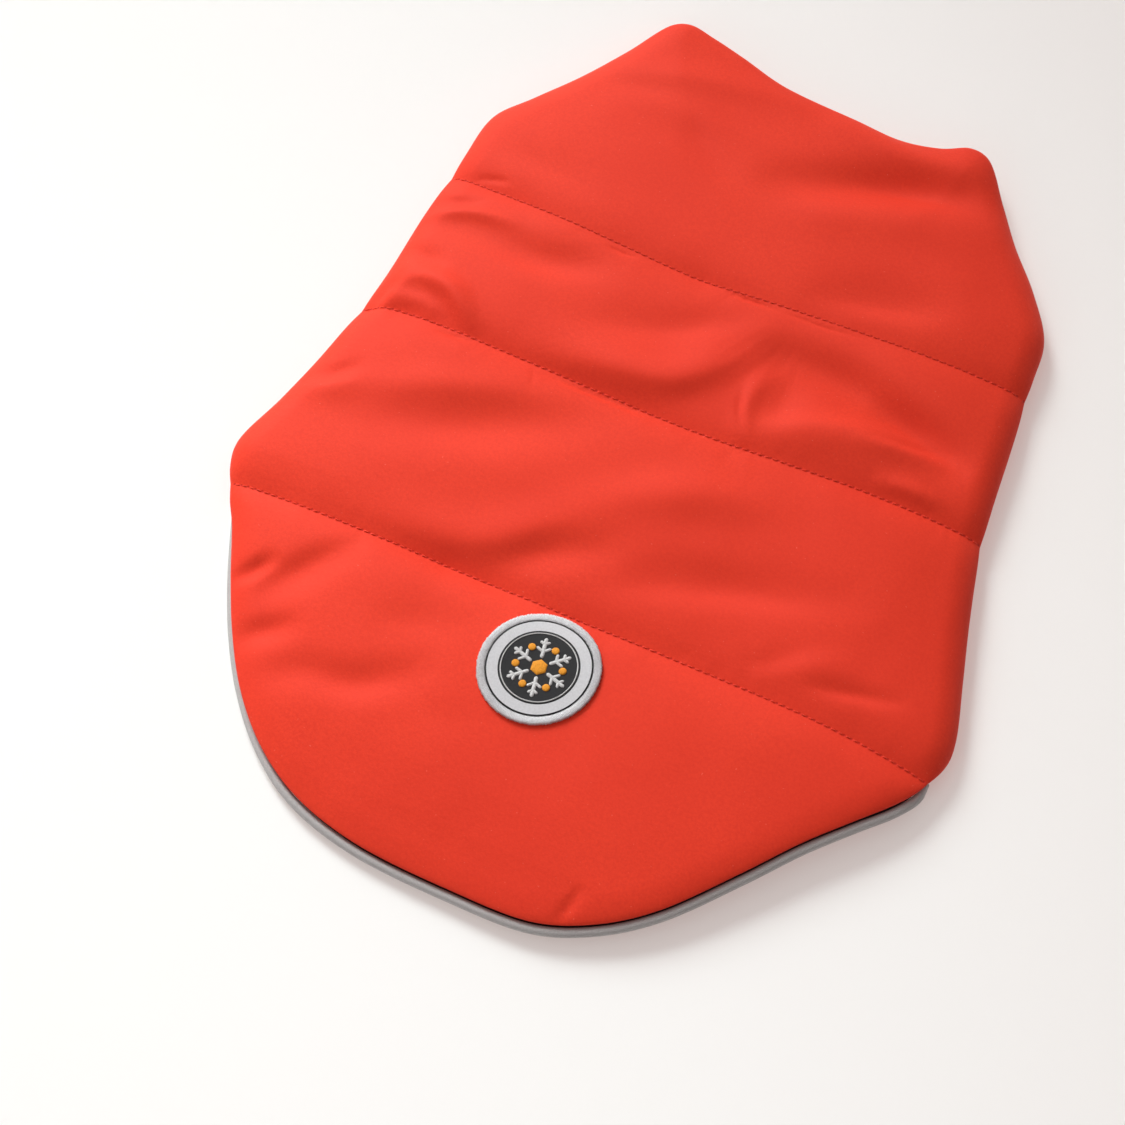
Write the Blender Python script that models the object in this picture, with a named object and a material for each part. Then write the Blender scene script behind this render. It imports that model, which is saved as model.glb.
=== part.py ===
"""A padded winter coat for a cat, folded shut and laid on a table with its back up.

Frame: +Z up, the table at Z = 0, +Y towards the neck, X across the back. The origin is the middle of
the box round the coat, on the table. The tables below are in millimetres, on axes of their own: there
X = 0 is the line of the spine, and Y = 0 lies a little neckward of the last quilting line. MIDDLE is the
frame's origin on those axes.

The back is one padded cloth, quilted along three lines. Its sides are folded under in thick rolls, and
the wings beyond the folds lie flat beneath it, on each other. The rounded tail hem is bound with a round
piping on a dark tape. A round patch is sewn near the tail.
"""

import bpy
import numpy as np
from mathutils import Vector
from mathutils.bvhtree import BVHTree

MM = 0.001
HIGH_ABOVE = 1.0  # metres, well clear of the coat
MIDDLE = np.array((4.5, 41.6))

# Cloth and quilting
WALL = 5.5  # padded cloth between its two faces, away from the quilting lines
SEAM_GAP = 0.35  # room between two pieces that touch
QUILT_DEPTH = 2.7  # how far a quilting line is sewn down into the padding
QUILT_REACH = 6.0  # how far from the line the padding takes to swell up again
QUILT_POWER = 1.2  # how sharply the line is drawn in: 1 is a crease, 2 a round groove
SHOULDER = 55.0  # how far in from the edge the back reaches its full height
SHOULDER_POWER = 2.4  # how full the shoulder is
FOLD_TAPER = 0.7  # how soon a fold is at its full height, away from its two ends
FOLD_MARGIN = 3  # how many widths from its middle a fold still counts
RIM = 9.0  # width of the rounded edge, seen from above
TURNED_UNDER = 12.0  # width of the rolled edge, measured on the table
TURNED_SLOPE = 1.6  # how far the roll's inner side leans in
SEAM_PINCH = 0.3  # how far a quilting line draws the edge in, as a share of its depth

# Trim
PIPING_RADIUS = 1.6
TAPE_WIDTH = 3.0
TAPE_THICKNESS = 0.8
TAPE_DROP = 0.9  # its underside below the piping's middle

# Patch
PATCH_CENTRE = (2.6, -42.2)
PATCH_RADIUS = 20.0
PATCH_OVAL = 0.94  # its width across, as a share of its length
PATCH_HEADING = 39.0  # degrees from +X to its length
PATCH_BORDER = 2.9
PATCH_LIFT = 0.5
PATCH_THICKNESS = 0.9
BORDER_THICKNESS = 1.3
BORDER_SIDE = 0.8  # height of the border's straight sides
BORDER_ROUND = 0.7  # width of the slope at each side of the border's top

# How finely the shapes are cut into faces
COLUMNS = 32
ROWS_IN_BAND = (9, 8, 7, 8)  # from the hem to the neck
UPPER_RIM_ANGLES = (30, 58, 90)
LOWER_RIM_ANGLES = (40, 90)
PIPING_SECTIONS = 84
PIPING_SIDES = 8
PATCH_SIDES = 32
PATCH_RING = 0.5  # a ring of points inside the patch, as a share of its radius
CURVE_STEPS = 24  # points between two rows of a table, before they are spaced evenly
RAIL_POWER = 6  # how near its ends a row of the grid leaves the quilting line for the border
NEAR_POWER = 3  # how fast a stretch of the edge loses its say with distance

# The coat's edge from above, anticlockwise: the bound tail hem, the right fold, the neck, the left fold.
# The hem's first and last rows lie on the folds, where the piping slips under the rolled cloth.
# crown: height of the cloth just inside the edge. out: how far the middle of the piping stands outside
# the red edge, which on the left rolls over it. piping: height of its middle. reach: how far in from
# the hem the underside comes down to the table.
HEM = (
    # x, y, crown, out, piping, reach
    (-117.2, -26.2, 10.8, -2.6, 1.95, 12),
    (-112.0, -34.3, 10.0, -0.9, 1.95, 12),
    (-103.3, -52.0, 9.0, -0.1, 1.95, 12),
    (-93.9, -69.1, 8.2, 0.1, 1.95, 12),
    (-82.6, -85.3, 7.6, 0.1, 1.95, 12),
    (-68.7, -98.9, 7.2, 0.6, 1.95, 12),
    (-52.0, -108.9, 7.0, 1.3, 2.1, 12),
    (-29.0, -115.2, 7.1, 1.5, 2.4, 14),
    (5.4, -117.1, 7.9, 1.5, 3.1, 18),
    (34.5, -115.8, 8.7, 1.5, 4.0, 26),
    (52.3, -108.7, 9.5, 1.5, 4.9, 34),
    (67.7, -97.5, 10.5, 1.5, 6.0, 40),
    (86.9, -75.8, 11.8, 1.5, 7.3, 44),
    (100.0, -59.5, 12.3, 1.5, 7.8, 44),
    (112.0, -46.4, 12.2, 1.5, 7.6, 36),
    (122.0, -35.5, 11.9, 1.5, 6.6, 24),
    (127.2, -28.8, 11.8, 0.4, 5.4, 16),
    (129.9, -23.6, 11.6, -2.2, 4.4, 13),
)
RIGHT_FOLD = (
    # x, y
    (132.2, -14.5),
    (131.6, -6.5),
    (126.4, 13.0),
    (121.2, 32.0),
    (117.0, 50.0),
    (113.8, 70.0),
    (111.6, 95.0),
    (109.2, 123.0),
    (107.4, 138.0),
    (97.8, 153.6),
    (85.6, 168.2),
    (76.0, 181.8),
)
NECK = (
    # x, y
    (65.0, 195.2),
    (58.0, 196.8),
    (48.7, 192.5),
    (34.8, 189.6),
    (17.5, 190.8),
    (-10.6, 193.2),
    (-27.8, 198.1),
    (-40.7, 201.4),
    (-50.8, 203.2),
    (-56.6, 200.4),
)
LEFT_FOLD = (
    # x, y
    (-67.8, 184.5),
    (-78.2, 168.7),
    (-89.7, 153.9),
    (-99.2, 141.3),
    (-101.7, 122.6),
    (-104.3, 94.6),
    (-105.9, 68.5),
    (-109.1, 49.5),
    (-112.6, 31.3),
    (-117.6, 12.3),
    (-123.5, -7.4),
    (-122.1, -16.0),
)
# crown, height of the widest point, height of the underside at the edge, reach
FOLD_HEIGHTS = (11.2, 5.8, 0.0, 12.0)
NECK_HEIGHTS = (11.8, 9.2, 6.6, 900.0)
HEM_OVER_TAPE = 0.7  # the hem's underside over the piping's middle, where the piping lies clear
HEM_LIP = 1.4  # the hem's widest point over its underside
ROLL_MARGIN = 0.1  # added where the cloth rolls over the piping
LIFTED = 1.0  # an underside higher than this is a hem or the neck, and not a fold
# How far in the underside turns flat, at the hem and neck, and at the folds
HEM_TURN = 3.0
FOLD_TURN = 5.0

# The three quilting lines, from the tail to the neck, each from left to right: x, y.
QUILT_LINES = (
    ((-120.8, -22.2), (-108, -21.7), (-60, -21.2), (0, -21.3), (77, -21.2), (102, -22.3), (130, -25)),
    ((-108, 53.6), (-98, 56), (-60, 55.9), (-20, 55.2), (12, 54.5), (50, 56.3), (78, 58.1), (115, 58.8)),
    ((-102.6, 113), (-80, 111.2), (-40, 108.6), (-8, 107.3), (16, 108.6), (50, 110.8), (110, 114)),
)

# Height of the cloth along the spine, before it is quilted.
SPINE = (
    # y, height
    (-117, 8.0),
    (-100, 10.5),
    (-85, 12.6),
    (-70, 14.2),
    (-55, 15.2),
    (-40, 15.6),
    (-18, 15.4),
    (15, 17.0),
    (112, 17.5),
    (165, 17.0),
    (204, 14.0),
)

# The largest folds in the cloth: points along each, then its width on its left and on its right, seen
# along it, and how far it rises (a ridge) or sinks (a trough). From the tail to the neck.
FOLDS = (
    (((-92, -55), (-83, -45), (-75, -36), (-66, -26)), 5, 7, -1.3),
    (((-93, -71), (-84, -66), (-75, -60)), 4, 5, -0.9),
    (((-79, -80), (-65, -73), (-50, -71), (-38, -64), (-27, -57)), 7, 6, -0.9),
    (((-52, -47), (-36, -42), (-20, -39)), 8, 6, -0.5),
    (((-46, -11), (-30, -6), (-20, 3), (-12, 10), (0, 19), (14, 28), (30, 36)), 9, 7, 1.9),
    (((-22, -14), (-13, -4), (-4, 2), (8, 6)), 4, 6, -1.0),
    (((8, -9), (20, -3), (35, 4), (50, 9), (66, 13), (90, 18)), 10, 6, -1.2),
    (((-100, 15), (-72, 19), (-50, 26), (-30, 34), (-14, 43), (-4, 51)), 10, 8, -1.5),
    (((-108, 24), (-90, 29), (-70, 37), (-46, 45)), 6, 7, 0.6),
    (((-101, 70.5), (-90, 71), (-80, 68), (-73, 63)), 4.5, 4.5, 1.4),
    (((-36, 67), (-15, 70), (0, 71.5), (9, 77), (16, 85), (23, 95)), 9, 6, 2.0),
    (((-34, 79), (-12, 84), (3, 92), (18, 103)), 7, 5, -0.9),
    (((28, 60), (40, 66.5), (53, 72), (66, 76), (86, 80)), 7, 5, 1.5),
    (((16, 91), (35, 92.5), (56, 91), (82, 84)), 7, 5, -1.1),
    (((-96, 91), (-70, 91), (-42, 93)), 8, 6, -0.7),
    (((46, 124), (58, 126), (74, 128)), 8, 5, -0.8),
    (((6, 146), (25, 149.5), (52, 160)), 8, 9, 0.9),
    (((-2, 154), (25, 161.5), (60, 173)), 11, 7, -2.2),
    (((-66, 174), (-48, 181), (-25, 186), (-5, 189)), 6, 6, 0.8),
)

# The folded layers' edges, from the top down. out: how far they stand out from the solid's top, at the
# folds and at the neck. level: their height, at the folds as a share of the top's and at the neck in mm.
LAYER_STEPS = (
    # out at folds, level at folds, out at neck, level at neck
    (0.1, 0.80, 2.0, 6.0),
    (0.3, 0.70, 10.4, 5.8),
    (0.4, 0.60, 11.2, 4.6),
    (-0.5, 0.50, 9.4, 3.4),
    (0.5, 0.30, 11.6, 1.8),
    (0.2, 0.0, 10.6, 0.0),
)
LAYERS_SHRINK = 0.992  # the solid's top beside the hollow that it fills
NECK_MARGIN = 3  # columns at each end of the neck where the layers stay back, under the folds

RED = (0.80, 0.065, 0.04)
GREY = (0.33, 0.31, 0.30)
BLACK = (0.012, 0.012, 0.013)
SILVER = (0.52, 0.53, 0.54)


def smooth(rows, closed=False, step=1.0):
    """Points step mm apart on a smooth curve through the rows. The later columns run along with it."""
    rows = np.array(rows, float)
    if closed:
        knots = np.vstack((rows[-1:], rows, rows[:2]))
    else:
        knots = np.vstack((2 * rows[0] - rows[1], rows, 2 * rows[-1] - rows[-2]))
    stretches = []
    for a, b, c, d in zip(knots, knots[1:], knots[2:], knots[3:]):
        tb = np.hypot(*(b - a)[:2]) ** 0.5
        tc = tb + np.hypot(*(c - b)[:2]) ** 0.5
        td = tc + np.hypot(*(d - c)[:2]) ** 0.5
        t = np.linspace(tb, tc, CURVE_STEPS, endpoint=False)[:, None]
        ab = a + (b - a) * t / tb
        bc = b + (c - b) * (t - tb) / (tc - tb)
        cd = c + (d - c) * (t - tc) / (td - tc)
        abc = ab + (bc - ab) * t / tc
        bcd = bc + (cd - bc) * (t - tb) / (td - tb)
        stretches.append(abc + (bcd - abc) * (t - tb) / (tc - tb))
    last = knots[-2:-1] if not closed else rows[:1]
    fine = np.vstack(stretches + [last])
    along = np.concatenate(([0], np.cumsum(np.hypot(*np.diff(fine[:, :2], axis=0).T))))
    places = np.linspace(0, along[-1], int(round(along[-1] / step)) + 1)
    return np.column_stack([np.interp(places, along, column) for column in fine.T])


def hem_row(x, y, crown, out, piping, reach):
    """A row of the edge. Where the cloth rolls over the piping, its underside clears the piping's top."""
    clear = PIPING_RADIUS + SEAM_GAP
    over = max(HEM_OVER_TAPE, max(0, clear**2 - max(0, out) ** 2) ** 0.5 + ROLL_MARGIN)
    return x, y, crown, piping + over + HEM_LIP, piping + over, reach, out, piping


def edge_rows():
    """The rows of the whole edge: x, y, crown, edge, under, reach, and the piping's out and height."""
    first, last = HEM[0][3:5], HEM[-1][3:5]
    right = [(x, y, *FOLD_HEIGHTS, *last) for x, y in RIGHT_FOLD]
    neck = [(x, y, *NECK_HEIGHTS, *first) for x, y in NECK]
    left = [(x, y, *FOLD_HEIGHTS, *first) for x, y in LEFT_FOLD]
    return [hem_row(*row) for row in HEM] + right + neck + left


class Edge:
    """The closed line round the coat, as points 1 mm apart with the columns of edge_rows."""

    def __init__(self):
        self.rows = smooth(edge_rows(), closed=True)
        self.rows[:, 4] = np.maximum(self.rows[:, 4], 0)
        self.rows[:, 5] = np.maximum(self.rows[:, 5], TURNED_UNDER)
        steps = np.hypot(*np.diff(self.rows[:, :2], axis=0).T)
        self.along = np.concatenate(([0], np.cumsum(steps)))
        self.length = self.along[-1]

    def at(self, along):
        """The columns at these distances along the edge from the hem's left end."""
        places = np.mod(along, self.length)
        return np.column_stack([np.interp(places, self.along, column) for column in self.rows.T])

    def outward(self, along, chord=9.0):
        """Unit vectors that point out of the coat, averaged over a chord so that corners stay round."""
        tangent = (self.at(np.add(along, chord)) - self.at(np.subtract(along, chord)))[:, :2]
        tangent /= np.linalg.norm(tangent, axis=1)[:, None]
        return np.column_stack((tangent[:, 1], -tangent[:, 0]))

    def nearest(self, point):
        """The distance along the edge at which it comes closest to a point."""
        return self.along[np.argmin(np.hypot(*(self.rows[:, :2] - point[:2]).T))]


EDGE = Edge()
SEAMS = [smooth(line) for line in QUILT_LINES]


def from_edge(points):
    """For each point its distance to the edge, and the edge's columns averaged over the places near it."""
    apart = np.linalg.norm(points[:, None, :] - EDGE.rows[None, :-1, :2], axis=2)
    weight = 1 / (apart**NEAR_POWER + 1)
    return apart.min(axis=1), weight @ EDGE.rows[:-1] / weight.sum(axis=1)[:, None]


def folds_at(points):
    """How far the folds lift or sink the cloth. Each runs out softly at its two ends."""
    rise = np.zeros(len(points))
    for along, left, right, height in FOLDS:
        line = smooth(along)
        margin = FOLD_MARGIN * max(left, right)
        inside = (points > line.min(axis=0) - margin) & (points < line.max(axis=0) + margin)
        near = np.flatnonzero(inside.all(axis=1))
        if not len(near):
            continue
        offset = points[near][:, None, :] - line
        apart = np.linalg.norm(offset, axis=2)
        closest = apart.argmin(axis=1)
        ahead = np.gradient(line, axis=0)[closest]
        gap = offset[np.arange(len(near)), closest]
        on_left = ahead[:, 0] * gap[:, 1] > ahead[:, 1] * gap[:, 0]
        width = np.where(on_left, left, right)
        full = np.sin(np.pi * closest / (len(line) - 1)).clip(0) ** FOLD_TAPER
        rise[near] += height * full * np.exp(-((apart.min(axis=1) / width) ** 2))
    return rise


def cloth_height(points):
    """Height of the back before it is quilted: a low crown that falls away to the edge's own height."""
    inset, near = from_edge(points)
    crown = near[:, 2]
    y, height = np.array(SPINE).T
    spine = np.interp(points[:, 1], y, height)
    share = 1 - (1 - np.minimum(inset / SHOULDER, 1)) ** SHOULDER_POWER
    return crown + (spine - crown) * share


def quilting(points):
    """How far the quilting lines draw the outer face down."""
    drawn = np.zeros(len(points))
    for line in SEAMS:
        away = np.abs(points[:, 1] - np.interp(points[:, 0], line[:, 0], line[:, 1]))
        drawn = np.maximum(drawn, QUILT_DEPTH * np.exp(-((away / QUILT_REACH) ** QUILT_POWER)))
    return drawn


def band_steps(count):
    """Shares of a band's width, closer together at the quilting lines that bound it."""
    return (1 - np.cos(np.pi * np.arange(count + 1) / count)) / 2


ROW_SHARES = [band_steps(count) for count in ROWS_IN_BAND]
ROWS = sum(ROWS_IN_BAND)
SEAM_ROWS = list(np.cumsum(ROWS_IN_BAND)[:-1])
HOLLOW_ROW = ROWS_IN_BAND[0] - 1  # from here on the wings lie under the back


def loop_places():
    """Distances along the edge at which the grid's rows and columns meet it, anticlockwise."""
    hem_left, hem_right = EDGE.nearest(HEM[1]), EDGE.nearest(HEM[-2])
    neck_right, neck_left = EDGE.nearest(NECK[0]), EDGE.nearest(NECK[-1])
    up = [hem_right] + [EDGE.nearest(line[-1]) for line in SEAMS] + [neck_right]
    down = [EDGE.length + hem_left] + [EDGE.nearest(line[0]) for line in SEAMS] + [neck_left]
    right, left = [], []
    for band, shares in enumerate(ROW_SHARES):
        right += list(up[band] + (up[band + 1] - up[band]) * shares[:-1])
        left += list(down[band] + (down[band + 1] - down[band]) * shares[:-1])
    hem = np.linspace(hem_left, hem_right, COLUMNS + 1)[:-1]
    neck = np.linspace(neck_right, neck_left, COLUMNS + 1)
    return np.concatenate((hem, right, neck, left[:0:-1]))


PLACES = loop_places()
OUTWARD = EDGE.outward(PLACES)
ROUND = EDGE.at(PLACES)


def ring_at(inset):
    """The loop of grid ends, moved in from the edge."""
    return ROUND[:, :2] - OUTWARD * np.reshape(inset, (-1, 1))


def grid_inside(ring):
    """Rows of points inside a loop, as rows x columns x 2. The quilting lines each run along one row."""
    hem = ring[: COLUMNS + 1]
    right = ring[COLUMNS : COLUMNS + ROWS + 1]
    neck = ring[COLUMNS + ROWS : 2 * COLUMNS + ROWS + 1][::-1]
    left = np.vstack((ring[2 * COLUMNS + ROWS :], ring[:1]))[::-1]
    u = np.linspace(0, 1, COLUMNS + 1)[:, None]
    rails = [hem]
    for line, row in zip(SEAMS, SEAM_ROWS):
        x = left[row, 0] + (right[row, 0] - left[row, 0]) * u[:, 0]
        y = np.interp(x, line[:, 0], line[:, 1])
        y = y + (left[row, 1] - y[0]) * (1 - u[:, 0]) ** RAIL_POWER
        y = y + (right[row, 1] - y[-1]) * u[:, 0] ** RAIL_POWER
        rails.append(np.column_stack((x, y)))
    rails.append(neck)
    rows, start = [], 0
    for band, shares in enumerate(ROW_SHARES):
        low, high = rails[band], rails[band + 1]
        for step, v in enumerate(shares[: None if band == len(ROW_SHARES) - 1 else -1]):
            l, r = left[start + step], right[start + step]
            sides = (1 - u) * l + u * r
            corners = (1 - u) * ((1 - v) * low[0] + v * high[0]) + u * ((1 - v) * low[-1] + v * high[-1])
            rows.append((1 - v) * low + v * high + sides - corners)
        start += ROWS_IN_BAND[band]
    return np.array(rows)


def loop_of(grid):
    """The outline of a grid of points, anticlockwise, as the rings run."""
    return np.vstack((grid[0, :-1], grid[:-1, -1], grid[-1, :0:-1], grid[:0:-1, 0]))


def lifted(points):
    """Height of the underside where the cloth is raised off the table along its edge."""
    inset, near = from_edge(points)
    return near[:, 4] * np.maximum(0, 1 - inset / near[:, 5]) ** 2


def outer_rings():
    """The back's outer face from the grid's border round the edge to its underside."""
    crown, edge, under = ROUND[:, 2], ROUND[:, 3], ROUND[:, 4]
    rings = []
    for angle in np.radians(UPPER_RIM_ANGLES):
        flat = ring_at(RIM * (1 - np.sin(angle)))
        height = cloth_height(flat) + folds_at(flat)
        drawn = quilting(flat)
        flat = flat - OUTWARD * (SEAM_PINCH * drawn * np.sin(angle))[:, None]
        z = edge + (height - edge) * np.cos(angle) - drawn * np.cos(angle)
        rings.append(np.column_stack((flat, z)))
    turn = np.where(under > LIFTED, HEM_TURN, FOLD_TURN)
    for angle in np.radians(LOWER_RIM_ANGLES):
        flat = ring_at(turn * (1 - np.cos(angle)))
        drawn = quilting(flat) * np.cos(angle)
        flat = flat - OUTWARD * (SEAM_PINCH * drawn)[:, None]
        rings.append(np.column_stack((flat, edge - (edge - under) * np.sin(angle))))
    return rings


def inner_grid():
    """The back's plain inner face: on the table at the tail, over the folded wings further up."""
    flat = grid_inside(ring_at(TURNED_UNDER + TURNED_SLOPE))
    shape = flat.shape[:2]
    points = flat.reshape(-1, 2)
    height = lifted(points).reshape(shape)
    height[HOLLOW_ROW:] = (cloth_height(points) - WALL).reshape(shape)[HOLLOW_ROW:]
    return np.dstack((flat, height))


def outer_grid():
    flat = grid_inside(ring_at(RIM))
    points = flat.reshape(-1, 2)
    height = cloth_height(points) + folds_at(points) - quilting(points)
    return np.dstack((flat, height.reshape(flat.shape[:2])))


class Mesh:
    """Collects points and faces for one closed mesh."""

    def __init__(self):
        self.points = []
        self.faces = []

    def add(self, points):
        start = len(self.points)
        self.points += [tuple(point) for point in np.reshape(points, (-1, 3))]
        return np.arange(start, len(self.points))

    def add_grid(self, grid, upward):
        """Adds a grid of faces, and returns the numbers of its border points, anticlockwise."""
        numbers = self.add(grid).reshape(grid.shape[:2])
        for a, b, c, d in zip(
            numbers[:-1, :-1].flat, numbers[:-1, 1:].flat, numbers[1:, 1:].flat, numbers[1:, :-1].flat
        ):
            self.faces.append((a, b, c, d) if upward else (d, c, b, a))
        return np.concatenate((numbers[0, :-1], numbers[:-1, -1], numbers[-1, :0:-1], numbers[:0:-1, 0]))

    def join(self, upper, lower):
        """A strip of faces between two loops that run anticlockwise, facing out from upper down to lower."""
        for a, b, c, d in zip(upper, np.roll(upper, -1), np.roll(lower, -1), lower):
            self.faces.append((a, d, c, b))

    def to_object(self, name, colour, roughness, parent):
        points = np.array(self.points)
        points[:, :2] -= MIDDLE
        mesh = bpy.data.meshes.new(name)
        mesh.from_pydata((points * MM).tolist(), [], [tuple(map(int, face)) for face in self.faces])
        mesh.validate()
        mesh.shade_smooth()
        mesh.materials.append(material(name, colour, roughness))
        obj = bpy.data.objects.new(name, mesh)
        obj.parent = parent
        bpy.context.scene.collection.objects.link(obj)
        return obj


def material(name, colour, roughness):
    made = bpy.data.materials.new(name)
    made.use_nodes = True
    shader = made.node_tree.nodes["Principled BSDF"]
    shader.inputs["Base Color"].default_value = (*colour, 1)
    shader.inputs["Roughness"].default_value = roughness
    shader.inputs["Metallic"].default_value = 0
    return made


def make_back_panel(parent):
    """The quilted back, with its folded sides rolled down to the table."""
    mesh = Mesh()
    border = mesh.add_grid(outer_grid(), upward=True)
    for ring in outer_rings():
        lower = mesh.add(ring)
        mesh.join(border, lower)
        border = lower
    flat = ring_at(TURNED_UNDER)
    turned = ROUND[:, 4] * np.maximum(0, 1 - TURNED_UNDER / ROUND[:, 5]) ** 2
    lower = mesh.add(np.column_stack((flat, turned)))
    mesh.join(border, lower)
    inside = mesh.add_grid(inner_grid(), upward=False)
    mesh.join(lower, inside)
    return mesh.to_object("back_panel", RED, 0.75, parent)


def make_folded_layers(parent):
    """The wings folded beneath the back: one rounded solid, its layers showing as steps at the neck."""
    mesh = Mesh()
    top = inner_grid()[HOLLOW_ROW:]
    middle = top[..., :2].mean(axis=(0, 1))
    top[..., :2] = middle + (top[..., :2] - middle) * LAYERS_SHRINK
    top[..., 2] -= SEAM_GAP
    border = mesh.add_grid(top, upward=True)
    loop = loop_of(top)
    ahead = np.roll(loop, -1, axis=0)[:, :2] - np.roll(loop, 1, axis=0)[:, :2]
    ahead /= np.linalg.norm(ahead, axis=1)[:, None]
    out = np.column_stack((ahead[:, 1], -ahead[:, 0]))
    rows = len(top) - 1
    at_neck = np.zeros(len(loop))
    at_neck[COLUMNS + rows + NECK_MARGIN : 2 * COLUMNS + rows - NECK_MARGIN + 1] = 1
    for fold_out, fold_level, neck_out, neck_level in LAYER_STEPS:
        far = fold_out + (neck_out - fold_out) * at_neck
        level = loop[:, 2] * fold_level * (1 - at_neck) + neck_level * at_neck
        lower = mesh.add(np.column_stack((loop[:, :2] + out * far[:, None], level)))
        mesh.join(border, lower)
        border = lower
    mesh.faces.append(tuple(border[::-1]))
    return mesh.to_object("folded_layers", RED, 0.8, parent)


def trim_path(sections):
    """The trim's line: points on the edge, directions out of it, and the piping's out and height."""
    places = np.linspace(0, EDGE.nearest(HEM[-1]), sections + 1)
    rows = EDGE.at(places)
    return rows[:, :2], EDGE.outward(places, chord=5.0), rows[:, 6], rows[:, 7]


def sweep(mesh, middle, outward, section):
    """A closed tube: the section's rows of (out, up) round each point of the line."""
    loops = []
    for offset, up in section:
        flat = middle[:, :2] + outward * np.reshape(offset, (-1, 1))
        loops.append(np.column_stack((flat, middle[:, 2] + up)))
    numbers = mesh.add(np.stack(loops, axis=1)).reshape(len(middle), len(section))
    for near, far in zip(numbers, numbers[1:]):
        for a, b, c, d in zip(near, np.roll(near, -1), np.roll(far, -1), far):
            mesh.faces.append((a, d, c, b))
    mesh.faces.append(tuple(numbers[0]))
    mesh.faces.append(tuple(numbers[-1][::-1]))


def make_piping(parent):
    """The round binding along the tail hem, its two ends slipped under the folds."""
    edge, outward, out, height = trim_path(PIPING_SECTIONS)
    middle = np.column_stack((edge + outward * out[:, None], height))
    turns = 2 * np.pi * (np.arange(PIPING_SIDES) + 0.5) / PIPING_SIDES
    section = [(PIPING_RADIUS * np.cos(turn), PIPING_RADIUS * np.sin(turn)) for turn in turns]
    mesh = Mesh()
    sweep(mesh, middle, outward, section)
    return mesh.to_object("hem_piping", GREY, 0.6, parent)


def make_tape(parent):
    """The dark tape that the piping is made on, which shows as a thin line beside the red cloth."""
    edge, outward, out, height = trim_path(PIPING_SECTIONS)
    outer = out - PIPING_RADIUS - SEAM_GAP
    middle = np.column_stack((edge + outward * outer[:, None], height - TAPE_DROP))
    section = ((0, 0), (0, TAPE_THICKNESS), (-TAPE_WIDTH, TAPE_THICKNESS), (-TAPE_WIDTH, 0))
    mesh = Mesh()
    sweep(mesh, middle[1:-1], outward[1:-1], section)
    return mesh.to_object("piping_tape", BLACK, 0.9, parent)


def patch_loop(radius, lift, surface):
    """An oval of points round the patch's centre, at this height over the cloth."""
    turns = np.linspace(0, 2 * np.pi, PATCH_SIDES, endpoint=False)
    heading = np.radians(PATCH_HEADING)
    lengthways = np.array((np.cos(heading), np.sin(heading)))
    across = np.array((-np.sin(heading), np.cos(heading))) * PATCH_OVAL
    circle = np.column_stack((np.cos(turns), np.sin(turns)))
    flat = np.array(PATCH_CENTRE) + radius * circle @ (lengthways, across)
    return np.column_stack((flat, surface(flat) + PATCH_LIFT + lift))


def make_patch(surface, parent):
    """The patch's field: a thin disc that follows the cloth."""
    radius = PATCH_RADIUS - PATCH_BORDER - SEAM_GAP
    mesh = Mesh()
    profile = ((PATCH_RING, 0), (1, 0), (1, PATCH_THICKNESS), (PATCH_RING, PATCH_THICKNESS))
    loops = [mesh.add(patch_loop(radius * share, lift, surface)) for share, lift in profile]
    for lower, upper in zip(loops, loops[1:]):
        mesh.join(upper, lower)
    bottom = mesh.add(patch_loop(0, 0, surface)[0])[0]
    top = mesh.add(patch_loop(0, PATCH_THICKNESS, surface)[0])[0]
    for a, b in zip(loops[0], np.roll(loops[0], -1)):
        mesh.faces.append((b, a, bottom))
    for a, b in zip(loops[-1], np.roll(loops[-1], -1)):
        mesh.faces.append((a, b, top))
    return mesh.to_object("patch", BLACK, 0.7, parent)


def make_patch_border(surface, parent):
    """The stitched ring round the patch, with a rounded back."""
    inner, outer = PATCH_RADIUS - PATCH_BORDER, PATCH_RADIUS
    profile = (
        (inner, 0),
        (outer, 0),
        (outer, BORDER_SIDE),
        (outer - BORDER_ROUND, BORDER_THICKNESS),
        (inner + BORDER_ROUND, BORDER_THICKNESS),
        (inner, BORDER_SIDE),
    )
    mesh = Mesh()
    loops = [mesh.add(patch_loop(radius, lift, surface)) for radius, lift in profile]
    for lower, upper in zip(loops, loops[1:] + loops[:1]):
        mesh.join(upper, lower)
    return mesh.to_object("patch_border", SILVER, 0.7, parent)


def height_on(obj):
    """A function that gives the height of an object's upper face at points of the tables' axes."""
    tree = BVHTree.FromPolygons(
        [vertex.co for vertex in obj.data.vertices], [face.vertices for face in obj.data.polygons]
    )

    def heights(points):
        found = []
        for x, y in (points - MIDDLE) * MM:
            hit = tree.ray_cast(Vector((x, y, HIGH_ABOVE)), Vector((0, 0, -1)))[0]
            found.append(hit.z / MM)
        return np.array(found)

    return heights


def main():
    for obj in list(bpy.data.objects):
        bpy.data.objects.remove(obj)
    coat = bpy.data.objects.new("coat", None)
    bpy.context.scene.collection.objects.link(coat)
    back = make_back_panel(coat)
    make_folded_layers(coat)
    make_piping(coat)
    make_tape(coat)
    surface = height_on(back)
    make_patch(surface, coat)
    make_patch_border(surface, coat)


main()
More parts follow.
